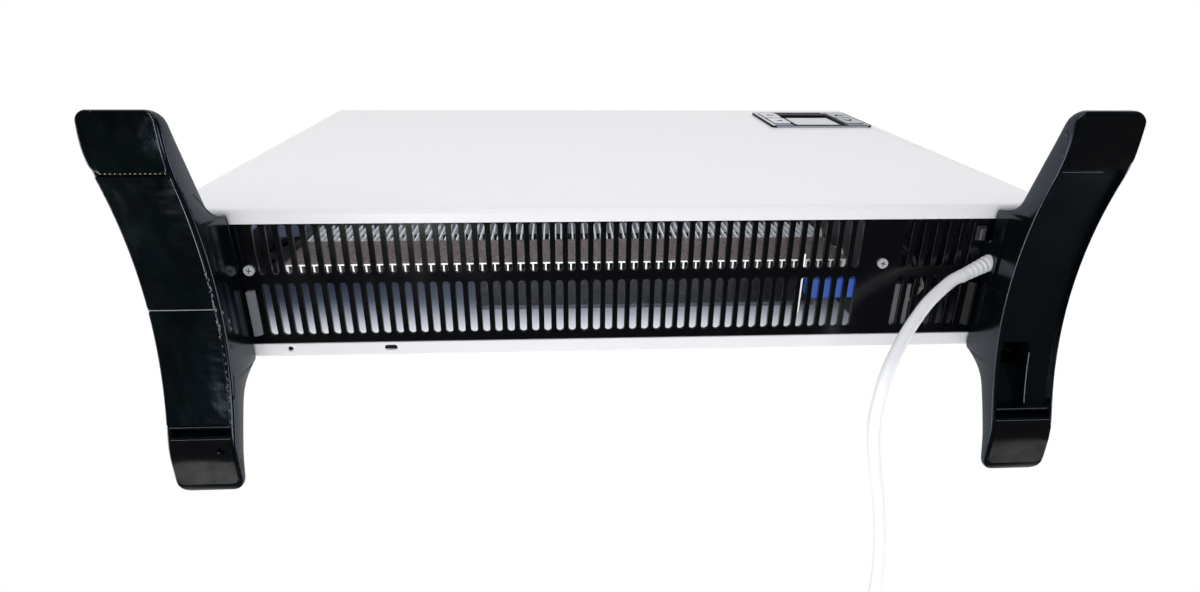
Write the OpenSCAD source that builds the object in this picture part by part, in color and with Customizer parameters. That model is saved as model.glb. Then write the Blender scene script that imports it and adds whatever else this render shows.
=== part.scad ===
// Electric convector heater on two moulded feet, standing upright.
// Floor at z = 0, front towards -Y, right side (seen from the front) towards +X.

/* [Casing] */
// Width of the casing
casing_w = 600; // [560:5:660]
// Height of the casing, without the feet
casing_h = 415; // [390:5:450]
// Depth of the casing
casing_d = 107; // [104:1:118]
// Height of the casing's underside over the floor
underside_z = 50; // [46:1:58]
// Thickness of the steel sheet
sheet_t = 1.2; // [0.8:0.1:1.6]
// Radius of the pressed edges of the front panel
edge_r = 4; // [3:0.5:6]
// Width of the lips that the panels turn in beside the grilles
lip_w = 10; // [8:0.5:12]
// Depth of the front panel's side walls
front_depth = 50; // [44:1:56]
// Length of the flange on the back panel that slides inside the front panel
joggle_l = 12; // [8:1:16]

/* [Grilles] */
// Thickness of the grilles
grille_t = 2.5; // [2:0.25:3.5]
// Distance from one slot to the next
slot_pitch = 8.6; // [8:0.1:10]
// Width of a slot
slot_w = 4.8; // [4:0.1:5.4]
// Width of the rail between the two rows of slots
rail_w = 6.6; // [5:0.2:9]
// Place of that rail's middle, front to back
rail_y = -4.7; // [-8:0.1:0]
// Solid border behind the rear row of slots
grille_border = 6; // [4:0.5:8]
// Solid margin at each end of the slots, from the casing's side
grille_margin = 57; // [54:1:62]
// Width of the solid bar below the compartment wall
wall_bar_w = 20; // [18:1:26]
// Diameter of the grille's screw heads
grille_screw_d = 7; // [6:0.5:8]

/* [Feet] */
// Width of a foot at the floor
foot_w = 44; // [40:1:46]
// How far a foot stands out beside the casing at the floor
foot_proud = 2; // [0:0.5:3]
// Length of a foot, front to back
foot_l = 252; // [244:1:262]
// How far the feet's middle lies behind the casing's
foot_shift = 3; // [0:0.5:3.5]
// Length of the arch under a foot
arch_l = 188; // [176:2:192]
// Rise of the arch under a foot
arch_rise = 18; // [14:1:20]
// Radius that leads the arch into the flat ends
arch_blend = 60; // [40:5:70]
// Length of the front pad
front_pad_l = 31; // [26:1:34]
// Length of the rear pad
rear_pad_l = 34; // [30:1:36]
// Height of a foot's front tip
tip_h = 7; // [5:0.5:8]
// Height of a foot's rear tip
rear_tip_h = 4; // [4:0.5:7]
// How much wider a foot is at its saddle than at the floor
saddle_flare = 3.5; // [2:0.5:5]
// Length of the hollow that leads up to the saddle in front
front_hollow = 14; // [8:1:18]
// Length of the hollow that leads up to the saddle behind
rear_hollow = 24; // [14:1:28]
// Thickness of the soft pads and of the sole
pad_t = 2.4; // [2:0.1:3]
// How far the pads stand out below a foot
pad_proud = 0.6; // [0.4:0.1:1]
// Width of the rim at the inner side of what is let into a foot's underside
rim_w = 2.2; // [1.6:0.2:3]

/* [Control unit] */
// Width of the control unit
control_w = 108; // [104:1:114]
// Height of the control unit
control_h = 89; // [86:1:96]
// Distance from the casing's right side to the control unit
control_side = 9; // [8:1:20]
// Distance from the casing's top to the control unit
control_top = 32; // [28:1:40]
// How far the control unit stands out of the panel
control_proud = 2; // [1.5:0.25:3]
// Width of the display window
window_w = 48; // [44:1:50]
// Height of the display window
window_h = 60; // [56:1:64]
// Width of a button
button_w = 18; // [16:0.5:19]
// Height of a button
button_h = 32; // [28:1:34]
// Travel of a button
button_travel = 1; // [0.6:0.1:1.2]

/* [Heating] */
// Length of the ceramic bushes between the heating element and the compartment wall
bush_l = 5; // [4:0.5:10]
// Thickness of the element, front to back
element_t = 10.5; // [9:0.5:12]
// Height of the element's lower body
element_lower_h = 54; // [48:1:58]
// Height of the element's upper body
element_upper_h = 42; // [38:1:46]
// Height of the element over the casing's underside
element_z = 62; // [58:1:68]
// Pitch of the element's cells
cell_pitch = 9.75; // [9.5:0.05:10.5]
// Diameter of the heating rod
rod_d = 6.5; // [6:0.1:7]

/* [Cord] */
// Diameter of the mains cord
cord_d = 8.5; // [8.3:0.1:8.7]
// Diameter of the plug
plug_d = 38; // [36:1:40]
// Length of the plug's body
plug_l = 36; // [32:1:40]
// Length of the plug's pins
pin_l = 19; // [18:0.5:20]
// Diameter of the plug's pins
pin_d = 4.8; // [4:0.1:5]
// Distance between the plug's pins
pin_gap = 19; // [18:0.5:20]

/* [Hidden] */

// Clearance between pieces that fit into each other
fit = 0.3;
// What a cut runs past the faces that it leaves
cut = 1;

// The casing's faces
side_x = casing_w / 2;
front_y = -casing_d / 2;
back_y = casing_d / 2;
top_z = underside_z + casing_h;
seam_y = front_y + front_depth;
back_r = 2;
inner_x = side_x - sheet_t;
inner_back_y = back_y - sheet_t;
inner_front_y = front_y + sheet_t;

// The two grilles lie on the inner faces of the lips
lip_overlap = 3.5;
grille_front_y = front_y + lip_w - lip_overlap;
grille_back_y = back_y - lip_w + lip_overlap;
inlet_z = underside_z + sheet_t;
inlet_top_z = inlet_z + grille_t;
outlet_z = top_z - sheet_t - grille_t;
slot_front_y = front_y + lip_w + 0.5;
slot_back_y = back_y - lip_w - grille_border;
slot_count = floor((casing_w - 2 * grille_margin) / slot_pitch) + 1;
slot_first_x = -(slot_count - 1) * slot_pitch / 2;

// The compartment wall splits the electrical parts from the heated air
compartment_w = 111;
wall_x = side_x - compartment_w;
wall_flange_w = 16;
wall_flange_l = 80;
grille_screw_y = -11.5;
grille_screw_x = [-side_x + 51, wall_x - 6.5];
screw_shank_d = 3.5;
screw_hole_d = screw_shank_d + 0.4;
thread_hole_d = screw_shank_d + 0.1;
back_screw_d = 6.5;
back_screw_in = 13;

// The heating element stands behind the middle of the casing
element_side = 48;
element_x0 = -side_x + element_side;
element_x1 = wall_x - bush_l;
element_l = element_x1 - element_x0;
element_y0 = 8;
element_y1 = element_y0 + element_t;
element_z0 = underside_z + element_z;
element_z1 = element_z0 + element_lower_h + 2;
element_top_z = element_z1 + element_upper_h;
rod_y = element_y0 + element_t / 2 + 0.5;
rod_z = [element_z0 + element_lower_h / 2, element_z1 + element_upper_h / 2];
rod_hole_d = rod_d + 2 * 0.15;
cell_wall = 1.2;
bracket_y = rod_y + rod_d / 2 + 4;

// The control unit
control_x = side_x - control_side - control_w / 2;
control_z = top_z - control_top - control_h / 2;
control_r = 5;
control_lip = 3;
opening_w = control_w - 2 * control_lip;
opening_h = control_h - 2 * control_lip;
bezel_t = 2.4;
bezel_wall = 1.5;
bezel_depth = 9;
cavity_w = opening_w - 2 * (fit + bezel_wall);
cavity_h = opening_h - 2 * (fit + bezel_wall);
bezel_face_y = front_y - control_proud;
bezel_inner_y = bezel_face_y + bezel_t;
window_x = control_x - 2;
window_z = control_z - 7.5;
window_step = 1;
button_gap = 4;
button_edge = 0.8;
button_col = cavity_w / 2 - fit - button_edge - button_w / 2;
button_z = [control_z + 2 + (button_h + button_gap) / 2, control_z + 2 - (button_h + button_gap) / 2];
button_proud = 0.8;
button_r = 2.5;
button_flange = 1.2;
board_y = front_y + bezel_depth;
board_front_y = board_y - 2.1;

// A foot: the left one is drawn and the right one is its mirror image
foot_out_x = -side_x - foot_proud;
foot_in_x = foot_out_x + foot_w;
foot_front_y = foot_shift - foot_l / 2;
foot_rear_y = foot_shift + foot_l / 2;
arch_y = 1.5;
arch_r = (arch_l * arch_l / 4 + arch_rise * arch_rise) / (2 * arch_rise);
blend_end = sqrt(pow(arch_r + arch_blend, 2) - pow(arch_r + arch_blend - arch_rise, 2));
blend_start = blend_end * arch_r / (arch_r + arch_blend);
outer_rim_w = 1.4;
tip_rim = 2;
rear_rim = 6;
front_pad_y = [foot_front_y + tip_rim, foot_front_y + tip_rim + front_pad_l];
rear_pad_y = [foot_rear_y - rear_rim - rear_pad_l, foot_rear_y - rear_rim];
recess_y = [front_pad_y[1] + 1.6, rear_pad_y[0] - 8];
recess_depth = 4;
step_y = [recess_y[1] + 1.5, rear_pad_y[0] - 1.5];
step_depth = 8;
shoulder_h = underside_z - 18;
saddle_r = 3.5;
saddle_y = [front_y + 2, back_y];
foot_screw_y = back_y - 4.3;
foot_screw_x = -foot_in_x + 14.4;
foot_screw_z = underside_z - 10;
screw_bore_d = 10;

// The gland sits in a notch of the right foot
gland_x0 = -foot_in_x - saddle_flare - 0.5;
gland_x1 = gland_x0 + 14;
gland_y0 = -27;
gland_y1 = -1;
gland_z0 = underside_z - 15.5;
relief_start = [gland_x0 + 1.6, -14.4, underside_z - 6.4];
relief_end = [side_x - 67, -6, underside_z - 12.5];
relief_d = 11;
relief_root = 5;
relief_neck_d = 9.4;

// Points of the cord's run, from the strain relief to the coil
relief_axis = (relief_end - relief_start) / norm(relief_end - relief_start);
run_points = [
    relief_end, relief_end + relief_axis * 8, [209, 6.5, 27], [198, 16, 20], [189, 26.5, 14],
    [181, 40, 8.5], [176, 55, 5.4], [174, 72, 4.4], [174, 90, 4.3], [177, 110, 4.3],
    [182, 132, 4.3], [188, 155, 4.3], [193, 180, 4.3], [197, 205, 4.3], [199.5, 230, 4.3],
    [200, 255, 4.3], [200, 280, 4.3], [200, 305, 4.3], [200, 321, 4.3],
];

// The coil winds in over the floor, climbs one layer and winds out again
coil_x = 146;
coil_y = 330;
coil_r = 54;
coil_pitch = 9.2;
coil_turns = 4.25;
coil_steps = 24;
coil_sides = 6;
cord_z = 4.3;
coil_reverse = coil_turns * 180;
plug_axis_z = plug_d / 2;
plug_back_x = 100;
plug_relief_l = 24;

// Radius and height of the coil at an angle
function coil_radius(a) = coil_r - coil_pitch * (a < coil_reverse ? a : 2 * coil_reverse - a) / 360;
function ease(s) = s <= 0 ? 0 : s >= 1 ? 1 : s * s * (3 - 2 * s);
function coil_height(a) = cord_z + coil_pitch * ease((a - coil_reverse + 90) / 180);
function coil_point(a) = [
    coil_x + coil_radius(a) * cos(a),
    coil_y + coil_radius(a) * sin(a),
    coil_height(a)
];
coil_loops = [
    for (i = [0:round(coil_turns * coil_steps)])
        coil_point(i * 360 / coil_steps)
];
coil_end = coil_point(coil_turns * 360);
lead_out = coil_end[0] - plug_back_x - cord_d;
coil_lead = [
    for (i = [1:5])
        [coil_end[0] - lead_out * i / 5, coil_end[1], coil_end[2] + (plug_axis_z - coil_end[2]) * ease(i / 5)]
];
coil_points = concat(
    [[coil_x + coil_r, coil_y - cord_d - 0.5, cord_z]],
    coil_loops,
    coil_lead,
    [[plug_back_x, coil_end[1], plug_axis_z]]
);

// Least distance between the coil's turns, less the cord's own diameter
coil_gap = min([
    for (i = [0:len(coil_points) - 1])
        for (j = [i + 10:1:len(coil_points) - 1])
            norm(coil_points[i] - coil_points[j])
]) - cord_d;
echo(coil_gap_mm = coil_gap);

// Direction of a path at one of its points
function path_dir(p, i) = let (
    a = p[max(i - 1, 0)],
    b = p[min(i + 1, len(p) - 1)]
) (b - a) / norm(b - a);
function unit(v) = v / norm(v);

// Ring of points round a path's point
function ring(c, d, r, sides) = let (
    s = unit(cross(d, [0, 0, 1])),
    u = cross(s, d)
) [for (k = [0:sides - 1]) c + r * (cos(360 * k / sides) * s + sin(360 * k / sides) * u)];

// Faces between rings of equal length, with both ends closed
function skin_faces(rings, n) = concat(
    [[for (k = [0:n - 1]) k]],
    [
        for (i = [0:rings - 2])
            for (k = [0:n - 1])
                each [
                    [i * n + k, i * n + n + k, i * n + n + (k + 1) % n],
                    [i * n + k, i * n + n + (k + 1) % n, i * n + (k + 1) % n]
                ]
    ],
    [[for (k = [0:n - 1]) (rings - 1) * n + n - 1 - k]]
);

// Tube swept along a path
module tube(points, d, sides) {
    rings = [for (i = [0:len(points) - 1]) ring(points[i], path_dir(points, i), d / 2, sides)];
    polyhedron([for (r = rings) each r], skin_faces(len(points), sides), convexity = 10);
}

// Box from its lowest to its highest corner
module box(low, high) {
    translate(low)
        cube(high - low);
}

// Rectangle with round corners, about its centre
module round_rect(w, h, r) {
    square([w - 2 * r, h], center = true);
    square([w, h - 2 * r], center = true);
    for (x = [-1, 1], y = [-1, 1])
        translate([x * (w / 2 - r), y * (h / 2 - r)])
            circle(r, $fn = 32);
}

// Plate with round corners that faces the front, from depth y0 to y1
module front_plate(x, z, w, h, r, y0, y1) {
    translate([x, y1, z])
        rotate([90, 0, 0])
            linear_extrude(y1 - y0)
                round_rect(w, h, r);
}

// Children moved so that their Z axis runs from a to b
module along(a, b) {
    v = b - a;
    translate(a)
        rotate([0, acos(v[2] / norm(v)), atan2(v[1], v[0])])
            children();
}

// Box seen from above: its two edges at y = 0 are round, and it is d deep
module panel_plan(half, d, r) {
    translate([-half, r])
        square([2 * half, d - r]);
    translate([-half + r, 0])
        square([2 * (half - r), d]);
    for (x = [-1, 1])
        translate([x * (half - r), r])
            circle(r, $fn = 32);
}

// Block inside the casing's outline, inset by t, with round edges round its face at y = 0
module pressed_block(t, d, r) {
    intersection() {
        translate([0, 0, underside_z - cut])
            linear_extrude(casing_h + 2 * cut)
                panel_plan(side_x - t, d, r);
        translate([-side_x - cut, 0, underside_z + casing_h / 2])
            rotate([90, 0, 90])
                linear_extrude(casing_w + 2 * cut)
                    mirror([1, -1])
                        panel_plan(casing_h / 2 - t, d, r);
    }
}

module front_panel() {
    color("white")
        difference() {
            translate([0, front_y, 0])
                pressed_block(0, front_depth, edge_r);
            translate([0, inner_front_y, 0])
                pressed_block(sheet_t, front_depth, edge_r - sheet_t);
            for (z = [underside_z - cut, top_z - sheet_t - cut])
                box([-inner_x, front_y + lip_w, z], [inner_x, seam_y + cut, z + sheet_t + 2 * cut]);
            front_plate(control_x, control_z, opening_w, opening_h, control_r - 1,
                front_y - cut, inner_front_y + cut);
        }
}

// Slot with a wide hole to put a screw head through, in the back panel
keyhole_x = casing_w / 2 - 90;
keyhole_z = top_z - 75;
keyhole_head_d = 10;
keyhole_neck_w = 5;
keyhole_neck_l = 12;

module keyhole() {
    rotate([90, 0, 0])
        linear_extrude(3 * cut + sheet_t) {
            circle(keyhole_head_d / 2, $fn = 32);
            translate([-keyhole_neck_w / 2, 0])
                square([keyhole_neck_w, keyhole_neck_l]);
            translate([0, keyhole_neck_l])
                circle(keyhole_neck_w / 2, $fn = 32);
        }
}

// Small round hole and an oval one in the back panel's bottom lip
lip_hole_d = 4;
lip_hole_x = -side_x + 69;
lip_slot_x = -side_x + 138;
lip_slot_l = 9;
lip_hole_y = back_y - 6;

module back_panel() {
    color("white")
        difference() {
            union() {
                difference() {
                    translate([0, back_y, 0])
                        mirror([0, 1, 0])
                            pressed_block(0, back_y - seam_y - 0.2, back_r);
                    box([-inner_x, seam_y - cut, underside_z + sheet_t],
                        [inner_x, inner_back_y, top_z - sheet_t]);
                    for (z = [underside_z - cut, top_z - sheet_t - cut])
                        box([-inner_x, seam_y - cut, z], [inner_x, back_y - lip_w, z + sheet_t + 2 * cut]);
                }
                for (m = [0, 1])
                    mirror([m, 0, 0]) {
                        box([inner_x - sheet_t, seam_y - joggle_l, underside_z + 12],
                            [inner_x, seam_y + 3, top_z - 12]);
                        box([inner_x - sheet_t, seam_y + 0.2, underside_z + 12],
                            [side_x - sheet_t / 2, seam_y + 3, top_z - 12]);
                    }
            }
            for (x = [-1, 1])
                translate([x * keyhole_x, back_y + cut, keyhole_z])
                    keyhole();
            translate([lip_hole_x, lip_hole_y, underside_z - cut])
                cylinder(d = lip_hole_d, h = sheet_t + 2 * cut, $fn = 24);
            translate([lip_slot_x, lip_hole_y, underside_z - cut])
                linear_extrude(sheet_t + 2 * cut)
                    slot_shape(lip_hole_d, lip_slot_l, 90);
            for (x = [-1, 1])
                translate([x * foot_screw_x, foot_screw_y, underside_z - cut])
                    cylinder(d = thread_hole_d, h = sheet_t + 2 * cut, $fn = 24);
            back_screw_places()
                translate([0, 0, -cut])
                    cylinder(d = screw_hole_d, h = sheet_t + 2 * cut, $fn = 24);
        }
}

// Slot with round ends, turned by an angle
module slot_shape(w, l, angle) {
    rotate(angle) {
        square([w, l - w], center = true);
        for (s = [-1, 1])
            translate([0, s * (l - w) / 2])
                circle(w / 2, $fn = 24);
    }
}

// Two rows of slots, left out over the compartment wall's bar
module slot_rows(with_bar) {
    for (i = [0:slot_count - 1]) {
        x = slot_first_x + i * slot_pitch;
        over_bar = with_bar && abs(x - (wall_x - wall_bar_w / 2 + 3)) < (wall_bar_w + slot_w) / 2;
        if (!over_bar) {
            front_l = rail_y - rail_w / 2 - slot_front_y;
            rear_l = slot_back_y - rail_y - rail_w / 2;
            translate([x, slot_front_y + front_l / 2])
                slot_shape(slot_w, front_l, 0);
            translate([x, slot_back_y - rear_l / 2])
                slot_shape(slot_w, rear_l, 0);
        }
    }
}

module grille_plate(z, with_bar) {
    translate([0, 0, z])
        linear_extrude(grille_t)
            difference() {
                translate([-inner_x + fit, grille_front_y])
                    square([2 * (inner_x - fit), grille_back_y - grille_front_y]);
                slot_rows(with_bar);
                if (with_bar)
                    for (x = grille_screw_x)
                        translate([x, grille_screw_y])
                            circle(screw_hole_d / 2, $fn = 24);
            }
}

module inlet_grille() {
    color("black")
        grille_plate(inlet_z, true);
}

module outlet_grille() {
    color("black")
        grille_plate(outlet_z, false);
}

module compartment_wall() {
    color("dimgray")
        difference() {
            union() {
                box([wall_x, inner_front_y + fit, inlet_top_z], [wall_x + sheet_t, inner_back_y, outlet_z]);
                box([wall_x - wall_flange_w, -wall_flange_l / 2, inlet_top_z],
                    [wall_x + sheet_t, wall_flange_l / 2, inlet_top_z + sheet_t]);
            }
            for (z = rod_z)
                translate([wall_x - cut, rod_y, z])
                    rotate([0, 90, 0])
                        cylinder(d = rod_hole_d, h = sheet_t + 2 * cut, $fn = 32);
            translate([grille_screw_x[1], grille_screw_y, inlet_top_z - cut])
                cylinder(d = screw_hole_d, h = sheet_t + 2 * cut, $fn = 24);
            box([wall_x - cut, front_y, control_z - opening_h / 2 - 1],
                [wall_x + sheet_t + cut, board_y + 2, control_z + opening_h / 2 + 1]);
        }
}

// Shield between the element and the back panel
shield_x0 = -110;
shield_x1 = 165;
shield_z0 = underside_z + 73;
shield_h = 180;
shield_gap = 2;

module heat_shield() {
    color("silver") {
        box([shield_x0, inner_back_y - shield_gap - sheet_t, shield_z0],
            [shield_x1, inner_back_y - shield_gap, shield_z0 + shield_h]);
        for (z = [shield_z0, shield_z0 + shield_h - sheet_t])
            box([shield_x0, inner_back_y - shield_gap - sheet_t, z],
                [shield_x1, inner_back_y, z + sheet_t]);
    }
}

module rod_holes(x0, x1) {
    for (z = rod_z)
        translate([x0 - cut, rod_y, z])
            rotate([0, 90, 0])
                cylinder(d = rod_hole_d, h = x1 - x0 + 2 * cut, $fn = 32);
}

// Lower body: a row of rectangular cells behind a closed front wall
module element_lower() {
    cells = floor((element_l - cell_wall) / cell_pitch);
    start = element_x0 + (element_l - cells * cell_pitch + cell_wall) / 2;
    color("rosybrown")
        difference() {
            translate([0, 0, element_z0])
                linear_extrude(element_lower_h)
                    difference() {
                        translate([element_x0, element_y0])
                            square([element_l, element_t]);
                        for (i = [0:cells - 1])
                            translate([start + i * cell_pitch, element_y0 + cell_wall])
                                square([cell_pitch - cell_wall, element_t - 2 * cell_wall]);
                    }
            rod_holes(element_x0, element_x1);
        }
}

// Upper body: upright fins on a rear spine, open to the front
module element_upper() {
    fin_pitch = cell_pitch / 2;
    fins = floor((element_l - cell_wall) / fin_pitch);
    start = element_x0 + (element_l - fins * fin_pitch - cell_wall) / 2;
    color("gainsboro")
        difference() {
            translate([0, 0, element_z1])
                linear_extrude(element_upper_h) {
                    translate([element_x0, element_y1 - cell_wall])
                        square([element_l, cell_wall]);
                    for (i = [0:fins])
                        translate([start + i * fin_pitch, element_y0])
                            square([cell_wall, element_t]);
                }
            rod_holes(element_x0, element_x1);
        }
}

// One rod, bent back at its left end
module heating_rod() {
    bend_r = (rod_z[1] - rod_z[0]) / 2;
    left_x = element_x0 - 6;
    color("darkslategray") {
        for (z = rod_z)
            translate([left_x, rod_y, z])
                rotate([0, 90, 0])
                    cylinder(d = rod_d, h = wall_x + 6 - left_x, $fn = 32);
        translate([left_x, rod_y, (rod_z[0] + rod_z[1]) / 2])
            rotate([90, 0, 0])
                rotate([0, 0, 90])
                    rotate_extrude(angle = 180, $fn = 48)
                        translate([bend_r, 0])
                            circle(d = rod_d, $fn = 32);
    }
}

// Ceramic bushes between the element's right end and the wall
module rod_insulators() {
    color("ivory")
        for (z = rod_z)
            translate([element_x1 + 0.1, rod_y, z])
                rotate([0, 90, 0])
                    difference() {
                        cylinder(d = 2 * rod_d, h = bush_l - 0.1, $fn = 48);
                        translate([0, 0, -cut])
                            cylinder(d = rod_hole_d, h = bush_l + 2 * cut, $fn = 32);
                    }
}

module element_bracket_left() {
    plate_x = element_x0 - 0.1 - sheet_t;
    z0 = element_z0 - 8;
    z1 = element_top_z + 8;
    color("dimgray")
        difference() {
            union() {
                box([plate_x, element_y0 - 6, z0], [plate_x + sheet_t, bracket_y + sheet_t, z1]);
                box([-inner_x, bracket_y, z0], [plate_x + sheet_t, bracket_y + sheet_t, z1]);
                box([-inner_x, element_y0 - 6, z0], [-inner_x + sheet_t, bracket_y + sheet_t, z1]);
            }
            rod_holes(plate_x, plate_x + sheet_t);
        }
}

// Strap from the back panel that steadies the element from below
module element_strap() {
    strap_w = 5;
    strap_x = element_x1 - 37;
    color("white")
        box([strap_x - strap_w / 2, element_y0 - 5, element_z0 - fit - 2],
            [strap_x + strap_w / 2, inner_back_y, element_z0 - fit]);
}

// Bimetal cut-out on the wall, above the element
module overheat_cutout() {
    cutout_z = element_top_z + 50;
    color("darkgray")
        translate([wall_x, 6, cutout_z])
            rotate([0, -90, 0]) {
                cylinder(d = 22, h = 1.6, $fn = 48);
                cylinder(d = 16, h = 9, $fn = 48);
            }
}

// Blue connector block on the wall's flange
module terminal_block() {
    block_x1 = wall_x - 4.5;
    ways = 5;
    way_l = 10;
    color("royalblue")
        difference() {
            box([block_x1 - ways * way_l, 2, inlet_top_z + sheet_t],
                [block_x1, 16, inlet_top_z + sheet_t + 12]);
            for (i = [0:ways - 1])
                translate([block_x1 - (i + 0.5) * way_l, 9, inlet_top_z + sheet_t + 5])
                    cylinder(d = 5, h = 12, $fn = 24);
            for (i = [1:ways - 1])
                box([block_x1 - i * way_l - 0.6, 2 - cut, inlet_top_z + sheet_t + 8],
                    [block_x1 - i * way_l + 0.6, 16 + cut, inlet_top_z + sheet_t + 12 + cut]);
        }
}

// Sealed ball switch that cuts the power when the heater falls over
module tilt_switch() {
    color("gray") {
        box([wall_x + sheet_t, 12, inlet_top_z + 1.5], [wall_x + sheet_t + 18, 34, inlet_top_z + 22]);
        box([wall_x + sheet_t, 6, inlet_top_z], [wall_x + sheet_t + 18, 40, inlet_top_z + 2]);
    }
}

// Power board, parallel to the compartment wall
board_up = 185;
board_h = 100;
board_z0 = underside_z + board_up;
board_z1 = board_z0 + board_h;
board_half = 36;
board_gap = 7;
board_screw_in = 6;
standoff_d = 6;
pcb_t = 1.6;
power_board_x = wall_x + sheet_t + board_gap;
parts_x = power_board_x + pcb_t;
relay_t = 16;
relay_w = 19;
relay_h = 30;
relay_up = 8;
relay_y = [-28, -6];
transformer_t = 22;
transformer_w = 32;
transformer_up = 52;
transformer_y = -15;

module power_board() {
    color("darkgreen")
        box([power_board_x, -board_half, board_z0], [power_board_x + pcb_t, board_half, board_z1]);
}

module board_standoffs() {
    color("gold")
        for (y = [-1, 1], z = [board_z0 + board_screw_in, board_z1 - board_screw_in])
            translate([wall_x + sheet_t, y * (board_half - board_screw_in), z])
                rotate([0, 90, 0])
                    cylinder(d = standoff_d, h = board_gap, $fn = 24);
}

module power_relays() {
    color("black")
        for (y = relay_y)
            box([parts_x, y, board_z0 + relay_up],
                [parts_x + relay_t, y + relay_w, board_z0 + relay_up + relay_h]);
}

module power_transformer() {
    color("goldenrod")
        box([parts_x, transformer_y, board_z0 + transformer_up],
            [parts_x + transformer_t, transformer_y + transformer_w,
                board_z0 + transformer_up + transformer_w]);
}

// Leads from the rod's ends to the relays, and from the connector block to the switch
wire_d = 3;
rod_end_x = wall_x + 6;
relay_x = parts_x + relay_t / 2;
wire_runs = [
    [
        [rod_end_x + fit, rod_y, rod_z[0]], [rod_end_x + 8, rod_y, rod_z[0]],
        [rod_end_x + 20, rod_y - 4, rod_z[0] + 20], [rod_end_x + 24, rod_y - 8, rod_z[0] + 50],
        [relay_x + 5, 4, board_z0 - 12], [relay_x + 2, 3, board_z0 + 8 - fit]
    ],
    [
        [rod_end_x + fit, rod_y, rod_z[1]], [rod_end_x + 6, rod_y, rod_z[1]],
        [rod_end_x + 12, rod_y - 8, rod_z[1] + 8], [relay_x + 2, -10, board_z0 - 22],
        [relay_x, -18, board_z0 - 8], [relay_x, -19, board_z0 + 8 - fit]
    ],
    [
        [wall_x + sheet_t + 18 + fit, 23, inlet_top_z + 12], [wall_x + sheet_t + 26, 23, inlet_top_z + 12],
        [wall_x + sheet_t + 40, 18, inlet_top_z + 24], [wall_x + sheet_t + 48, 8, inlet_top_z + 60],
        [wall_x + sheet_t + 46, 0, inlet_top_z + 100], [relay_x + 8, -3, board_z0 - 20],
        [relay_x + 5, -4, board_z0 + 8 - fit]
    ],
];

module inner_wiring() {
    color("whitesmoke")
        for (p = wire_runs)
            tube(p, wire_d, 8);
}

// Air sensor in a spring clip under the grille, at the right end
module room_sensor() {
    sensor_x = -foot_in_x - saddle_flare - 6;
    color("silver") {
        box([sensor_x - 3, -38, inlet_z - 1], [sensor_x + 3, -28, inlet_z]);
        translate([sensor_x, -37, inlet_z - 2.6])
            rotate([-90, 0, 0])
                cylinder(d = 4, h = 8, $fn = 24);
    }
}

// Centres of the four buttons
function button_place(i) = [
    i < 2 ? control_x - button_col : control_x + button_col,
    button_z[i % 2]
];

module control_bezel() {
    color("#26282c")
        difference() {
            union() {
                front_plate(control_x, control_z, control_w, control_h, control_r, bezel_face_y, front_y);
                front_plate(control_x, control_z, opening_w - 2 * fit, opening_h - 2 * fit,
                    control_r - 1.5, front_y, board_y);
            }
            front_plate(control_x, control_z, cavity_w, cavity_h, control_r - 2,
                bezel_inner_y, board_y + cut);
            front_plate(window_x, window_z, window_w, window_h, 3, bezel_face_y - cut, bezel_inner_y + cut);
            for (i = [0:3])
                front_plate(button_place(i)[0], button_place(i)[1], button_w + 2 * fit,
                    button_h + 2 * fit, button_r, bezel_face_y - cut, bezel_inner_y + cut);
        }
}

// Clear window with a step that rests behind the bezel
module display_window() {
    color("lightsteelblue") {
        front_plate(window_x, window_z, window_w - 2 * 0.15, window_h - 2 * 0.15, 3,
            bezel_face_y + 0.4, bezel_inner_y);
        front_plate(window_x, window_z, window_w + 2 * window_step, window_h + 2 * window_step, 3,
            bezel_inner_y, bezel_inner_y + window_step);
    }
}

module lcd_panel() {
    color("silver")
        front_plate(window_x, window_z, window_w + 2 * window_step, window_h + 2 * window_step, 2,
            bezel_inner_y + window_step, board_front_y);
}

module control_board() {
    color("darkgreen")
        front_plate(control_x, control_z, cavity_w - 2 * fit, cavity_h - 2 * fit, 2,
            board_front_y, board_front_y + pcb_t);
}

// Push switches on the board, just behind the buttons' travel
module tact_switches() {
    switch_w = 6;
    switch_y = bezel_inner_y + 2 * fit + button_flange + button_travel;
    color("black")
        for (i = [0:3])
            front_plate(button_place(i)[0], button_place(i)[1], switch_w, switch_w, 1,
                switch_y, board_front_y);
}

// Key cap with a flange behind the bezel that keeps it in
module button(i) {
    face_y = bezel_face_y - button_proud;
    flange_y = bezel_inner_y + fit;
    color(i < 2 ? "lightgray" : "dimgray") {
        front_plate(button_place(i)[0], button_place(i)[1], button_w, button_h, button_r - fit,
            face_y, flange_y);
        front_plate(button_place(i)[0], button_place(i)[1], button_w + 2 * button_edge,
            button_h + 2 * button_edge, button_r, flange_y, flange_y + button_flange);
    }
}

// Underside of a foot, over the plane of its flat ends: an arch with a hollow at each end
function foot_arch(y) = let (a = abs(y - arch_y))
    a < blend_start ? sqrt(arch_r * arch_r - a * a) - arch_r + arch_rise
    : a < blend_end ? arch_blend - sqrt(arch_blend * arch_blend - pow(blend_end - a, 2))
    : 0;

// Slope from a tip to the saddle, at a distance from the saddle: it rises to the shoulder, straight
// or bowed, and a hollow leads it up to the saddle's round edge
hollow_power = 4;
function slope_top(d, run, tip, bow, hollow) =
    tip + (shoulder_h - tip) * pow(max(run - d, 0) / run, bow)
    + (underside_z - saddle_r - shoulder_h) * pow(max(1 - d / hollow, 0), hollow_power);

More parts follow.
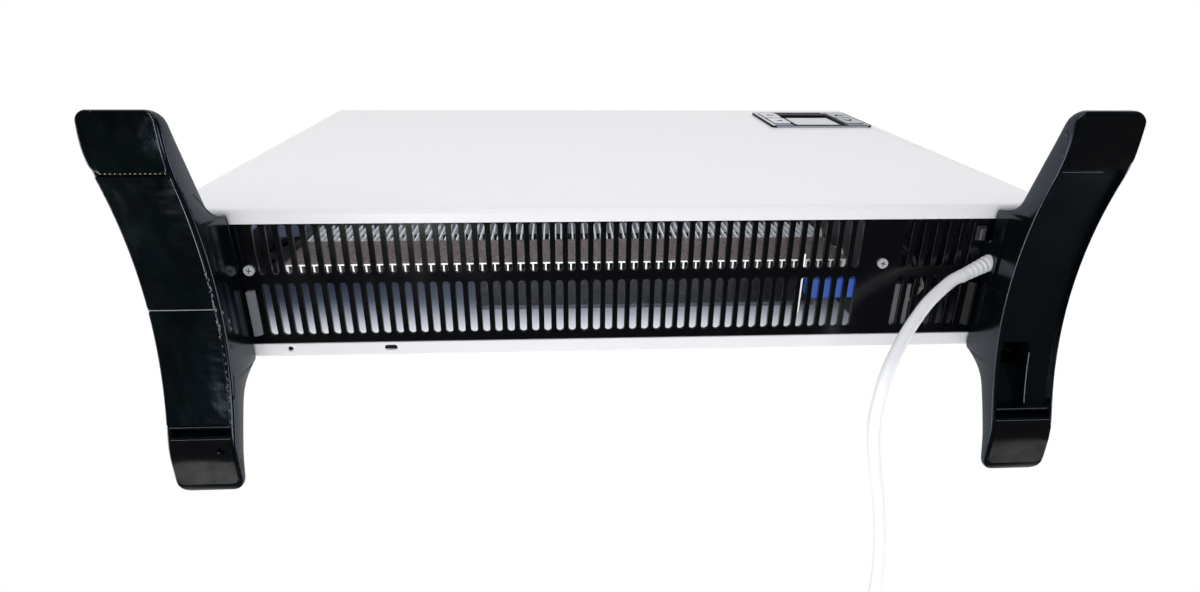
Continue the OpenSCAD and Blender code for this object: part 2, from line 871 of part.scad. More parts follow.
// Top of a foot at depth y: its front slope is straight, its rear slope is bowed
front_run = saddle_y[0] - foot_front_y;
rear_run = foot_rear_y - saddle_y[1];
rear_bow = 1.25;
function foot_top(y) =
    y < saddle_y[0] ? slope_top(saddle_y[0] - y, front_run, tip_h, 1, front_hollow)
    : y > saddle_y[1] ? slope_top(y - saddle_y[1], rear_run, rear_tip_h, rear_bow, rear_hollow)
    : underside_z - round_loss(min(y - saddle_y[0], saddle_y[1] - y), saddle_r);

// What a round edge of radius r takes away at a distance from its end
function round_loss(e, r) = e >= r ? 0 : r - sqrt(max(r * r - (r - e) * (r - e), 0));

// Rounding of a foot's tip, as the width lost on each side at depth y, and the height lost with it
tip_r = 8;
tip_thin = 1.4;
function tip_loss(y) = round_loss(min(y - foot_front_y, foot_rear_y - y), tip_r);
function tip_shrink(y) = min(tip_thin, tip_loss(y) / 4);

// Corner of a foot's section: quarter circle about c, from angle a
function corner(c, r, a, n) = [
    for (k = [0:n]) [c[0] + r * cos(a + 90 * k / n), c[1] + r * sin(a + 90 * k / n)]
];

// Section of a foot at depth y: a drafted box with round edges, low and high
edge_low_r = 1.6;
edge_high_r = 3.5;
function foot_section(y) = let (
    loss = tip_loss(y),
    lo = pad_proud + foot_arch(y) + tip_shrink(y),
    hi = foot_top(y) - tip_shrink(y),
    x_in = foot_in_x - loss,
    x_out = foot_out_x + loss,
    in_draft = saddle_flare / underside_z,
    out_draft = foot_proud / underside_z,
    rb = min(edge_low_r, (hi - lo) / 3),
    rt = min(edge_high_r, (hi - lo) / 3)
) [
    for (
        q = concat(
            corner([x_in + in_draft * lo - rb, lo + rb], rb, -90, 4),
            corner([x_in + in_draft * hi - rt, hi - rt], rt, 0, 5),
            corner([x_out + out_draft * hi + rt, hi - rt], rt, 90, 5),
            corner([x_out + out_draft * lo + rb, lo + rb], rb, 180, 4)
        )
    ) [q[0], y, q[1]]
];

// Depths at which a foot's section is taken
foot_depths = concat(
    [for (s = [0, 0.03, 0.12, 0.3, 0.6, 1]) foot_front_y + tip_r * s],
    [for (s = [0.2:0.2:1]) foot_front_y + tip_r + (front_run - front_hollow - tip_r) * s],
    [for (s = [0.72, 0.5, 0.32, 0.2, 0.1, 0.04, 0]) saddle_y[0] - front_hollow * s],
    [for (s = [0.06, 0.3, 1]) saddle_y[0] + saddle_r * s],
    [for (s = [0.1:0.1:0.9]) saddle_y[0] + (saddle_y[1] - saddle_y[0]) * s],
    [for (s = [1, 0.3, 0.06]) saddle_y[1] - saddle_r * s],
    [for (s = [0, 0.04, 0.1, 0.2, 0.32, 0.5, 0.72]) saddle_y[1] + rear_hollow * s],
    [for (s = [1:-0.2:0.2]) foot_rear_y - tip_r - (rear_run - rear_hollow - tip_r) * s],
    [for (s = [1, 0.6, 0.3, 0.12, 0.03, 0]) foot_rear_y - tip_r * s]
);

// Outer form of the left foot, with its screw's hole
module foot_body() {
    rings = [for (y = foot_depths) foot_section(y)];
    n = len(rings[0]);
    difference() {
        polyhedron([for (r = rings) each r],
            [for (f = skin_faces(len(rings), n)) [for (k = [len(f) - 1:-1:0]) f[k]]], convexity = 6);
        translate([-foot_screw_x, foot_screw_y, foot_screw_z - cut])
            cylinder(d = screw_hole_d, h = underside_z, $fn = 24);
    }
}

// Plan of what is let into a foot's underside, between two depths
inset_r = 5;
module inset_plan(span, loss) {
    x0 = foot_out_x + outer_rim_w + loss;
    x1 = foot_in_x - rim_w - loss;
    translate([(x0 + x1) / 2, (span[0] + span[1]) / 2])
        round_rect(x1 - x0, span[1] - span[0] - 2 * loss, inset_r);
}

// Depths that draw the underside between two depths: close together along the arch only
function arch_depths(span) = let (
    from = max(span[0], arch_y - blend_end),
    to = min(span[1], arch_y + blend_end),
    steps = ceil((to - from) / 5)
) concat(
    span[0] < from ? [span[0]] : [],
    [for (i = [0:steps]) from + (to - from) * i / steps],
    to < span[1] ? [span[1]] : []
);

// Layer that follows a foot's underside between two depths, from one height over it to another
module under_layer(span, low, high, loss) {
    depths = arch_depths(span);
    intersection() {
        translate([0, 0, low - cut])
            linear_extrude(arch_rise + high - low + 2 * cut)
                inset_plan(span, loss);
        translate([foot_out_x, 0, 0])
            rotate([90, 0, 90])
                linear_extrude(foot_w)
                    polygon(concat(
                        [for (y = depths) [y, foot_arch(y) + low]],
                        [for (i = [len(depths) - 1:-1:0]) [depths[i], foot_arch(depths[i]) + high]]
                    ));
    }
}

// Pads, let into a foot's underside with a little play
pad_play = 0.15;
module pad_recess(span) {
    under_layer(span, -cut, pad_t, 0);
}

module pad(span) {
    under_layer(span, 0, pad_t, pad_play);
}

// Cross groove in front of the rear pad
module step_groove() {
    box([foot_out_x + outer_rim_w + 2, step_y[0], -cut], [foot_in_x - rim_w, step_y[1], step_depth + 2]);
}

module foot_left() {
    color("#1b1e22")
        difference() {
            foot_body();
            pad_recess(front_pad_y);
            pad_recess(rear_pad_y);
            under_layer(recess_y, -cut, pad_t, 0);
            step_groove();
            translate([-foot_screw_x, foot_screw_y, -cut])
                cylinder(d = screw_bore_d, h = foot_screw_z + cut, $fn = 32);
        }
}

// Soft covering under the left foot's arch, with a seam across it
sole_seam_y = 3;
sole_seam_w = 0.8;
module foot_sole_left() {
    color("#202a2c")
        difference() {
            under_layer(recess_y, 0, pad_t, pad_play);
            box([foot_out_x - cut, sole_seam_y - sole_seam_w / 2, -cut],
                [foot_in_x + cut, sole_seam_y + sole_seam_w / 2, foot_arch(sole_seam_y) + pad_t / 3]);
        }
}

// Deep pocket round the right foot's screw; its roof falls with the foot's top
pocket_w = 22;
pocket_y0 = 36;
pocket_cut = 6;
pocket_roof = 5;
module pocket() {
    translate([foot_in_x - rim_w - pocket_w, 0, 0])
        rotate([90, 0, 90])
            linear_extrude(pocket_w)
                polygon([
                    [pocket_y0, -cut], [pocket_y0, foot_screw_z - pocket_cut],
                    [pocket_y0 + pocket_cut, foot_screw_z], [back_y + 1, foot_screw_z],
                    [back_y + 4, shoulder_h - 3], [recess_y[1], foot_top(recess_y[1]) - pocket_roof],
                    [recess_y[1], -cut]
                ]);
}

module foot_right() {
    color("#1b1e22")
        difference() {
            mirror([1, 0, 0])
                difference() {
                    foot_body();
                    pad_recess(front_pad_y);
                    pad_recess(rear_pad_y);
                    under_layer(recess_y, -cut, recess_depth, 0);
                    step_groove();
                    pocket();
                }
            box([gland_x0 - rim_w - saddle_flare, gland_y0 - fit, gland_z0 - fit],
                [gland_x1 + fit, gland_y1 + fit, underside_z + cut]);
        }
}

module foot_pad_front_left() {
    color("#202a2c")
        pad(front_pad_y);
}

module foot_pad_front_right() {
    color("#16181a")
        mirror([1, 0, 0])
            pad(front_pad_y);
}

// Moulding hole in the left rear pad, from the foot's outer side and from the pad's front edge
pad_hole = [34.5, 8];
pad_hole_d = 5;
module foot_pad_rear_left() {
    color("#16181a")
        difference() {
            pad(rear_pad_y);
            translate([foot_out_x + pad_hole[0], rear_pad_y[0] + pad_hole[1], -cut])
                cylinder(d = pad_hole_d, h = pad_t + 4 * cut, $fn = 24);
        }
}

module foot_pad_rear_right() {
    color("#16181a")
        mirror([1, 0, 0])
            pad(rear_pad_y);
}

// Spring tongue under the grille that locks a foot, with a sloped face
clip_w = 5;
clip_y = [3, 36];
clip_h = 4;
module foot_clip() {
    translate([foot_in_x + saddle_flare + 1.5, clip_y[1], inlet_z])
        rotate([90, 0, 0])
            linear_extrude(clip_y[1] - clip_y[0])
                polygon([[0, 0], [clip_w, 0], [clip_w, -1.2], [1.8, -clip_h], [0, -clip_h]]);
}

module foot_clip_left() {
    color("lightgray")
        foot_clip();
}

module foot_clip_right() {
    color("black")
        mirror([1, 0, 0])
            foot_clip();
}

// Pan head screw that points along +Z, with its head's seat at z = 0
module screw(head_d, head_h, shank_l) {
    translate([0, 0, -head_h]) {
        cylinder(d = head_d, h = head_h, $fn = 32);
        cylinder(d = screw_shank_d, h = head_h + shank_l, $fn = 24);
    }
}

module foot_screws() {
    color("silver")
        for (x = [-1, 1])
            translate([x * foot_screw_x, foot_screw_y, foot_screw_z])
                screw(8, 3, underside_z - foot_screw_z + 5);
}

module grille_screws() {
    color("silver")
        for (x = grille_screw_x)
            translate([x, grille_screw_y, inlet_z])
                screw(grille_screw_d, 2, grille_t + 4);
}

// The back panel's screws, three on each side
back_screw_low = 40;
back_screw_high = 30;
module back_screw_places() {
    for (x = [-1, 1], z = [underside_z + back_screw_low, underside_z + casing_h / 2, top_z - back_screw_high])
        translate([x * (side_x - back_screw_in), back_y, z])
            rotate([90, 0, 0])
                children();
}

module back_screws() {
    color("silver")
        back_screw_places()
            screw(back_screw_d, 1.8, 7);
}

// Clamp block of the cord, in the notch of the right foot
module cord_gland() {
    color("#1b1e22")
        difference() {
            box([gland_x0, gland_y0, gland_z0], [gland_x1, gland_y1, inlet_z]);
            along(relief_start, relief_end)
                translate([0, 0, -relief_root]) {
                    cylinder(d = relief_neck_d + 2 * 0.15, h = 2 * relief_root, $fn = 48);
                    translate([0, 0, relief_root - 0.5])
                        cylinder(d = relief_d + 2 * 0.15, h = 20, $fn = 48);
                }
        }
}

// Tapered sleeve round the cord, with shallow rings
module strain_relief() {
    l = norm(relief_end - relief_start);
    color("white")
        along(relief_start, relief_end)
            rotate_extrude($fn = 48)
                polygon(concat(
                    [
                        [0, -relief_root + 0.5], [relief_neck_d / 2, -relief_root + 0.5],
                        [relief_neck_d / 2, 0], [relief_d / 2, 0], [relief_d / 2, 3]
                    ],
                    [
                        for (i = [0:4])
                            each [
                                [relief_d / 2 - i * 0.2, 4.5 + i * 3.6],
                                [relief_d / 2 - 0.5 - i * 0.14, 5.2 + i * 3.6],
                                [relief_d / 2 - 0.5 - i * 0.14, 6.4 + i * 3.6],
                                [relief_d / 2 - 0.2 - i * 0.2, 7.1 + i * 3.6]
                            ]
                    ],
                    [[cord_d / 2 + 0.4, l], [0, l]]
                ));
}

module cord_run() {
    color("white")
        tube(run_points, cord_d, 10);
}

module cord_coil() {
    color("white")
        tube(coil_points, cord_d, coil_sides);
}

// Plug body on its side, its pins towards -X
plug_front_x = plug_back_x - plug_relief_l - plug_l;
plug_y = coil_end[1];

module plug_body() {
    color("white")
        difference() {
            translate([plug_back_x, plug_y, plug_axis_z])
                rotate([0, -90, 0])
                    rotate_extrude($fn = 64)
                        polygon([
                            [0, 0], [cord_d / 2 + 0.5, 0], [cord_d / 2 + 2.5, plug_relief_l - 4],
                            [plug_d / 2 - 8, plug_relief_l + 1], [plug_d / 2 - 4, plug_relief_l + 8],
                            [plug_d / 2 - 1, plug_relief_l + 18], [plug_d / 2, plug_relief_l + plug_l - 10],
                            [plug_d / 2, plug_relief_l + plug_l], [0, plug_relief_l + plug_l]
                        ]);
            for (s = [-1, 1]) {
                translate([0, 0, plug_axis_z + s * (plug_d / 2 - 1.5) + (s < 0 ? -10 : 0)])
                    translate([plug_front_x - cut, plug_y - 5, 0])
                        cube([20, 10, 10]);
                translate([plug_front_x - cut, plug_y + s * pin_gap / 2, plug_axis_z])
                    rotate([0, 90, 0])
                        cylinder(d = pin_d + 2 * 0.05, h = 9 + cut, $fn = 32);
            }
        }
}

module plug_pins() {
    color("silver")
        for (s = [-1, 1])
            translate([plug_front_x - pin_l, plug_y + s * pin_gap / 2, plug_axis_z])
                rotate([0, 90, 0]) {
                    translate([0, 0, 2])
                        cylinder(d = pin_d, h = pin_l + 6.9, $fn = 32);
                    sphere_tip();
                }
}

// Round end of a pin
module sphere_tip() {
    rotate_extrude($fn = 32)
        polygon([
            [0, 0], [pin_d / 4, 0.2], [pin_d / 2 - 0.4, 1], [pin_d / 2, 2], [0, 2]
        ]);
}

module plug_earth_clips() {
    color("silver")
        for (s = [-1, 1])
            translate([plug_front_x + 0.5, plug_y - 4, plug_axis_z + s * (plug_d / 2 - 1) - 0.5])
                cube([18, 8, 1]);
}

front_panel();
back_panel();
inlet_grille();
outlet_grille();
compartment_wall();
heat_shield();
element_lower();
element_upper();
heating_rod();
rod_insulators();
element_bracket_left();
element_strap();
overheat_cutout();
terminal_block();
tilt_switch();
power_board();
board_standoffs();
power_relays();
power_transformer();
inner_wiring();
room_sensor();
control_bezel();
display_window();
lcd_panel();
control_board();
tact_switches();
button(0);  // button_power
button(1);  // button_mode
button(2);  // button_up
button(3);  // button_down
foot_left();
foot_right();
foot_sole_left();
foot_pad_front_left();
foot_pad_front_right();
foot_pad_rear_left();
foot_pad_rear_right();
foot_clip_left();
foot_clip_right();
foot_screws();
grille_screws();
back_screws();
cord_gland();
strain_relief();
cord_run();
cord_coil();
plug_body();
plug_pins();
plug_earth_clips();
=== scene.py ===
"""Finishes an electric convector heater: paint, metals, mouldings, stitched leather, cord and stage."""

import math
import random

import bmesh
import bpy
from bpy.props import FloatProperty, FloatVectorProperty, IntProperty, PointerProperty
from mathutils import Matrix, Vector, noise


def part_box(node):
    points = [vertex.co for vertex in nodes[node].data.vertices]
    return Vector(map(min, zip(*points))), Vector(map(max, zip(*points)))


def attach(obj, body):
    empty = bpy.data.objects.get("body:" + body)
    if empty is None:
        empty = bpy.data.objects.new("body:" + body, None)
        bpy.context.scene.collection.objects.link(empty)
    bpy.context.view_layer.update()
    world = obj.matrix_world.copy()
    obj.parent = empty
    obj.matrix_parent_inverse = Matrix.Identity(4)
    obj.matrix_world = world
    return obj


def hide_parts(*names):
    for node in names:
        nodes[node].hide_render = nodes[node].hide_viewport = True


bl_info = {
    "name": "Convector Heater",
    "version": (1, 0, 0),
    "blender": (4, 5, 0),
    "location": "View3D > Sidebar > Heater",
    "description": "Finishes, cord and studio of an electric convector heater",
    "category": "Object",
}

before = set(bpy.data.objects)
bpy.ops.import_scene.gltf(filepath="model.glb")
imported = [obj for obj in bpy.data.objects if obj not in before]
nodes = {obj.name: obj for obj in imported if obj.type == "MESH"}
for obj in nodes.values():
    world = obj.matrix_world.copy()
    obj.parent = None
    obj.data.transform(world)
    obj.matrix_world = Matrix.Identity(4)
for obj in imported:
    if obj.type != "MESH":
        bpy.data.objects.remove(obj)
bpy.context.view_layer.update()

MM = 0.001
SHEET = 1.0 * MM
CASING_BEND = 4.0 * MM
BODY = "heater"
JOIN_GROUP = "Join and mark edges"
# Least angle between two faces of an edge that is shaded sharp, and of one that is rounded
SHARP_ANGLE = math.radians(32)
ROUNDED_ANGLE = math.radians(40)
# How far a print stands in front of its face, and how far it reaches behind it
PRINT_PROUD = 0.04 * MM
PRINT_DEEP = 0.1 * MM
# The camera: the photo's width in pixels, the sensor in millimetres, the focal length in pixels,
# the tilts and the place
PHOTO_W = 1200
SENSOR_W = 36.0
FOCAL = 707.97
PITCH = math.radians(23.35)
YAW = math.radians(3.11)
ROLL = math.radians(-0.78)
CAMERA_PLACE = (-0.04169, -0.18446, -0.40112)
TARGET = (0, 0, 0.2)
FLOOR_HALF = 6
MIRRORED_LAMPS = ("Below", "Gleam", "Crease", "Rim")


def linear(hex_colour):
    """Linear RGB of an sRGB hex colour."""
    values = [int(hex_colour[i:i + 2], 16) / 255 for i in (1, 3, 5)]
    return [v / 12.92 if v <= 0.04045 else ((v + 0.055) / 1.055) ** 2.4 for v in values]


def colour(name, text, hex_colour):
    return FloatVectorProperty(
        name=name, description=text, default=linear(hex_colour), subtype="COLOR", size=3, min=0, max=1
    )


def length(name, text, metres):
    return FloatProperty(name=name, description=text, default=metres, unit="LENGTH", min=0)


def level(name, text, value):
    return FloatProperty(name=name, description=text, default=value, min=0)


def watts(name, text, value):
    return FloatProperty(name=name, description=text, default=value, unit="POWER", min=0)


class HeaterSizes(bpy.types.PropertyGroup):
    cord_d: length("Cord diameter", "Outer diameter of the mains cord", 8.5 * MM)
    coil_radius: length("Coil radius", "Radius of the put-away coil's first turn", 54 * MM)
    coil_pitch: length("Coil pitch", "Distance between two turns of the coil", 9.2 * MM)
    stitch_pitch: length("Stitch pitch", "Distance from one stitch to the next", 2.7 * MM)
    stitch_length: length("Stitch length", "Visible length of one stitch", 1.1 * MM)
    thread_d: length("Thread diameter", "Diameter of the sewing thread", 0.55 * MM)
    edge_round: length("Edge rounding", "Rounding of the sheet and moulding edges", 0.35 * MM)
    foot_round: length("Foot edge rounding", "Rounding of the feet's edges", 0.9 * MM)
    coil_steps: IntProperty(name="Coil steps", description="Points in one turn", default=36, min=12)


class HeaterColours(bpy.types.PropertyGroup):
    enamel: colour("Casing", "Gloss enamel of the casing", "#F2F2F4")
    grille: colour("Grilles", "Satin enamel of the grilles", "#040507")
    inner_steel: colour("Inner steel", "Painted steel inside the casing", "#242629")
    element: colour("Element", "Coated lower body of the heating element", "#746A65")
    foot: colour("Feet", "Moulded plastic of the feet", "#05080B")
    leather: colour("Covering", "Leather covering of the left foot", "#030709")
    thread: colour("Thread", "Sewing thread", "#E2CC96")
    connector: colour("Connector", "Plastic of the connector block", "#122F6C")
    cord: colour("Cord", "Sheath of the mains cord", "#EDEEF1")
    bezel: colour("Bezel", "Frame of the control unit", "#14151A")
    floor: colour("Floor", "Studio floor", "#ECEDEF")


class HeaterStudio(bpy.types.PropertyGroup):
    upper_light: level("Upper light", "World light from above", 0.56)
    lower_light: level("Lower light", "World light from below", 0.34)
    upper_gloss: level("Upper gloss", "What gloss mirrors from above", 0.8)
    lower_gloss: level("Lower gloss", "What gloss mirrors from below", 0.05)
    below_power: watts("Lamp below", "Lamp low in front", 7.2)
    front_power: watts("Lamp in front", "Lamp in front", 9)
    back_power: watts("Lamp behind", "Low lamp behind", 10.2)
    gleam_power: watts("Gleam", "Lamps that the pads mirror", 0.017)
    rim_power: watts("Rim lamps", "Side lamps that edges mirror", 5.5)
    fins_power: watts("Lamp at the fins", "Light in front of the fins", 0.12)
    crease_power: watts("Crease lamp", "Lamp that the leather's creases mirror", 0.7)
    inside_power: watts("Lamp inside", "Light up into the casing from the grille", 0.32)
    top_power: watts("Lamp above", "Lamp above", 5)


def put(tree, socket, value):
    """Gives a socket its link, its number or its colour."""
    if isinstance(value, bpy.types.NodeSocket):
        tree.links.new(value, socket)
    else:
        socket.default_value = [*value, 1] if socket.type == "RGBA" else value


def add(tree, kind, inputs=(), out=0, **fields):
    """Adds a node with its fields and its inputs, by name or in order, and gives one of its outputs."""
    node = tree.nodes.new(kind)
    for name, value in fields.items():
        setattr(node, name, value)
    for key, value in (inputs if isinstance(inputs, dict) else dict(enumerate(inputs))).items():
        put(tree, node.inputs[key], value)
    return node.outputs[out] if node.outputs else None


class Finish:
    """A material in the making: one shader, and patterns in the object's own coordinates."""

    def __init__(self, name, **inputs):
        self.material = bpy.data.materials.new(name)
        self.material.use_nodes = True
        self.tree = self.material.node_tree
        self.shader = self.tree.nodes["Principled BSDF"]
        self.place = add(self.tree, "ShaderNodeTexCoord", out="Object")
        self.normal = None
        for key, value in inputs.items():
            self.give(key, value)

    def give(self, name, value):
        """Sets or links one of the shader's inputs."""
        put(self.tree, self.shader.inputs[name.replace("_", " ")], value)

    def pattern(self, size, stretch=None, kind="ShaderNodeTexNoise", out="Fac", **inputs):
        """Texture whose unit is size metres, drawn out along the axes where stretch is under 1.

        In a noise or in cells, the unit is about the distance from one feature to the next.
        """
        place = self.place
        if stretch:
            place = add(self.tree, "ShaderNodeMapping", {"Vector": place, "Scale": stretch})
        return add(self.tree, kind, {"Vector": place, "Scale": 1 / size, **inputs}, out)

    def tones(self, pattern, first, second):
        """Colour that goes from first to second with a pattern."""
        inputs = {0: pattern, 6: first, 7: second}
        self.give("Base_Color", add(self.tree, "ShaderNodeMix", inputs, 2, data_type="RGBA"))

    def gloss(self, pattern, low, high, start=0.3, end=0.7):
        """Roughness that goes from low to high as a pattern goes from start to end."""
        self.give("Roughness", add(self.tree, "ShaderNodeMapRange", (pattern, start, end, low, high)))

    def relief(self, pattern, depth):
        """Bump of a pattern, depth metres deep, over the one before it."""
        inputs = {"Height": pattern, "Distance": depth, "Strength": 1}
        if self.normal:
            inputs["Normal"] = self.normal
        self.normal = add(self.tree, "ShaderNodeBump", inputs)
        self.give("Normal", self.normal)


def gloss_enamel(tint, half, low_z, high_z):
    """Powder-coated steel, stoved: glossy, with the faint orange peel of flowed powder.

    Inside the casing the colour goes over to blue-grey upwards: painted shade, for light from below that
    fades with height.
    """
    paint = Finish(
        "Gloss enamel on steel", Base_Color=tint, Roughness=0.36, Coat_Weight=0.35, Coat_Roughness=0.2
    )
    paint.relief(paint.pattern(2.2 * MM, Detail=1), 0.012 * MM)
    tree = paint.tree
    x, y, z = add(tree, "ShaderNodeSeparateXYZ", (paint.place,)).node.outputs
    past = []
    for axis, reach in ((x, half.x), (y, half.y)):
        out = add(tree, "ShaderNodeMath", (axis,), operation="ABSOLUTE")
        bend = (out, reach - CASING_BEND, reach, 0, CASING_BEND)
        past.append(add(tree, "ShaderNodeMapRange", bend))
    corner = add(tree, "ShaderNodeCombineXYZ", past)
    depth = add(tree, "ShaderNodeVectorMath", (corner,), "Value", operation="LENGTH")
    sheet = (depth, CASING_BEND - SHEET * 0.6, CASING_BEND - SHEET * 0.4, 1, 0)
    inner = add(tree, "ShaderNodeMapRange", sheet)
    lip = (z, high_z - SHEET * 1.6, high_z - SHEET * 1.4, 1, 0)
    below_lip = add(tree, "ShaderNodeMapRange", lip)
    inner = add(tree, "ShaderNodeMath", (inner, below_lip), operation="MULTIPLY")
    # Painted shade inside the casing: the colour goes over to blue-grey from about 24 to 100 mm above the
    # lower lip, with an uneven border, for light from below that fades with height
    uneven = paint.pattern(14 * MM, Detail=3)
    height = add(tree, "ShaderNodeMath", (uneven, 12 * MM, z), operation="MULTIPLY_ADD")
    thin = add(tree, "ShaderNodeMapRange", (height, low_z + 24 * MM, low_z + 100 * MM, 0, 1))
    painted_shade = add(tree, "ShaderNodeMath", (inner, thin), operation="MULTIPLY")
    paint.tones(painted_shade, tint, linear("#7A87A0"))
    return paint.material


def satin_enamel(name, tint, rough):
    """Thin satin enamel on pressed steel: even, with a fine leather-like grain.

    The real grain is under 0.3 mm and wouldn't show, so it is drawn coarser.
    """
    paint = Finish(name, Base_Color=tint)
    paint.gloss(paint.pattern(25 * MM), rough - 0.05, rough + 0.07)
    paint.relief(paint.pattern(0.7 * MM), 0.02 * MM)
    return paint.material


def galvanised_steel():
    """Hot-dip galvanised sheet: grey zinc crystals some millimetres wide, each with its own gloss."""
    zinc = Finish("Galvanised steel", Metallic=1.0)
    cells = zinc.pattern(7 * MM, kind="ShaderNodeTexVoronoi", out="Color")
    value = add(zinc.tree, "ShaderNodeSeparateColor", (cells,))
    zinc.tones(value, linear("#8D9194"), linear("#B4B8BA"))
    zinc.gloss(value, 0.3, 0.5, 0, 1)
    return zinc.material


def coated_aluminium(tint):
    """Extruded aluminium with a dark heat coating, rough like sandpaper, and uncoated where it was sawn off.
    """
    skin = Finish("Heat-coated aluminium", Roughness=0.5, Metallic=0.3)
    tree = skin.tree
    speck = skin.pattern(1.4 * MM, Detail=6)
    patches = add(tree, "ShaderNodeMapRange", (speck, 0.35, 0.65, 0, 1))
    inputs = {0: patches, 6: [c * 0.5 for c in tint], 7: [min(1, c * 2.1) for c in tint]}
    mottle = add(tree, "ShaderNodeMix", inputs, 2, data_type="RGBA")
    facing = add(tree, "ShaderNodeNewGeometry", out="Normal")
    upward = add(tree, "ShaderNodeSeparateXYZ", (facing,), "Z")
    cut = add(tree, "ShaderNodeMapRange", (upward, -0.95, -0.8, 1, 0))
    skin.tones(cut, mottle, linear("#E4E6E9"))
    skin.relief(speck, 0.5 * MM)
    return skin.material


def bright_aluminium():
    """Bare extruded fins: bright, with fine drawing lines along the extrusion."""
    skin = Finish("Extruded aluminium", Metallic=0.1)
    lines = skin.pattern(0.6 * MM, (1, 1, 0.04), Detail=3)
    skin.tones(lines, linear("#DDE0E4"), linear("#F6F8FA"))
    skin.gloss(lines, 0.2, 0.42)
    return skin.material


def plain_metal(name, tint, rough, metallic=1.0):
    """Turned or drawn metal, a little uneven in gloss; plating that scatters light is less metallic."""
    metal = Finish(name, Base_Color=tint, Metallic=metallic)
    metal.gloss(metal.pattern(1.2 * MM), rough * 0.75, rough * 1.3)
    return metal.material


def moulded_plastic(name, tint, rough=0.4, texture=0.9 * MM, depth=0.02 * MM, **inputs):
    """Injection-moulded plastic with the mould's fine spark-eroded grain.

    The real grain is about 0.1 mm and wouldn't show, so it is drawn coarser.
    """
    plastic = Finish(name, Base_Color=tint, IOR=1.5, **inputs)
    plastic.gloss(plastic.pattern(18 * MM), rough * 0.85, rough * 1.15)
    plastic.relief(plastic.pattern(texture), depth)
    return plastic.material


def foot_plastic(tint):
    """Black ABS from a polished mould: glossy, with a faint flow haze and hairline scratches.

    The scratches are drawn wider than real ones, so that they show.
    """
    plastic = Finish("Black ABS", Base_Color=tint, IOR=1.58, Specular_Tint=linear("#D6E8FF"))
    plastic.gloss(plastic.pattern(30 * MM, Detail=3), 0.11, 0.19)
    plastic.relief(plastic.pattern(0.5 * MM, (1, 0.05, 1)), 0.006 * MM)
    return plastic.material


def leather(tint):
    """Smooth black calf leather, glazed: fine pores, long soft creases and a dull gloss.

    The pores are drawn some four times wider than real ones, so that they show.
    """
    hide = Finish("Glazed leather", IOR=1.45, Specular_IOR_Level=0.4, Specular_Tint=linear("#CFE6FF"))
    wide = hide.pattern(22 * MM, Detail=4)
    patches = add(hide.tree, "ShaderNodeMapRange", (wide, 0.35, 0.7, 0, 1))
    hide.tones(patches, [c * 0.6 for c in tint], [c * 1.8 for c in tint])
    folds = hide.pattern(7 * MM, (1, 0.35, 1), Detail=5)
    hide.gloss(folds, 0.14, 0.26)
    hide.relief(folds, 0.12 * MM)
    hide.relief(hide.pattern(1.1 * MM, kind="ShaderNodeTexVoronoi", out="Distance"), 0.015 * MM)
    return hide.material


def rubber(tint):
    """Cast rubber-like pad skin, smooth and slightly dusty; the dust is drawn coarse enough to show."""
    skin = Finish("Pad rubber", Base_Color=tint, Specular_IOR_Level=0.4)
    skin.gloss(skin.pattern(9 * MM, Detail=5), 0.1, 0.2)
    skin.relief(skin.pattern(1.5 * MM, Detail=3), 0.008 * MM)
    return skin.material


def cord_sheath(tint):
    """Extruded PVC sheath: soft gloss on a faintly rough skin that lets a little light in."""
    sheath = Finish(
        "PVC cord sheath", Base_Color=tint, IOR=1.5, Subsurface_Weight=0.08, Subsurface_Radius=[2 * MM] * 3
    )
    sheath.gloss(sheath.pattern(6 * MM, Detail=3), 0.34, 0.48)
    sheath.relief(sheath.pattern(1.1 * MM), 0.03 * MM)
    return sheath.material


def twisted_thread(tint):
    """Waxed polyester thread, whose twist shows as slanting bands 1.3 mm apart."""
    thread = Finish("Waxed thread", Base_Color=tint, Roughness=0.6)
    inputs = {"Vector": thread.place, "Scale": 1 / (2.1 * MM)}
    bands = add(thread.tree, "ShaderNodeTexWave", inputs, "Fac", bands_direction="DIAGONAL")
    thread.relief(bands, 0.06 * MM)
    return thread.material


def clear_window():
    """Clear cast acrylic: almost colourless, polished on both faces."""
    acrylic = Finish(
        "Clear acrylic", Base_Color=linear("#D9DCDF"), IOR=1.49, Alpha=0.9, Roughness=0.05,
        Specular_IOR_Level=0.25
    )
    acrylic.relief(acrylic.pattern(12 * MM), 0.002 * MM)
    return acrylic.material


def display_glass():
    """Unlit liquid crystal display: a silver-grey reflector with a faint mottle under its polariser."""
    glass = Finish("LCD reflector", Roughness=0.35)
    glass.tones(glass.pattern(3 * MM, Detail=4), linear("#E2E6E8"), linear("#EEF1F3"))
    return glass.material


def circuit_board():
    """Glass-epoxy board under green solder mask, with the copper's tracks just lighter."""
    mask = Finish("Solder mask", Roughness=0.3)
    tracks = mask.pattern(9 * MM, kind="ShaderNodeTexBrick", **{"Mortar Size": 0.03})
    mask.tones(tracks, linear("#12462A"), linear("#2A7A4C"))
    return mask.material


def glazed_ceramic():
    """Steatite with a thin clear glaze: cream white, with tiny pits."""
    glaze = Finish("Glazed steatite", Base_Color=linear("#E9E4D8"), Roughness=0.25)
    glaze.relief(glaze.pattern(1.5 * MM, Detail=4), 0.03 * MM)
    return glaze.material


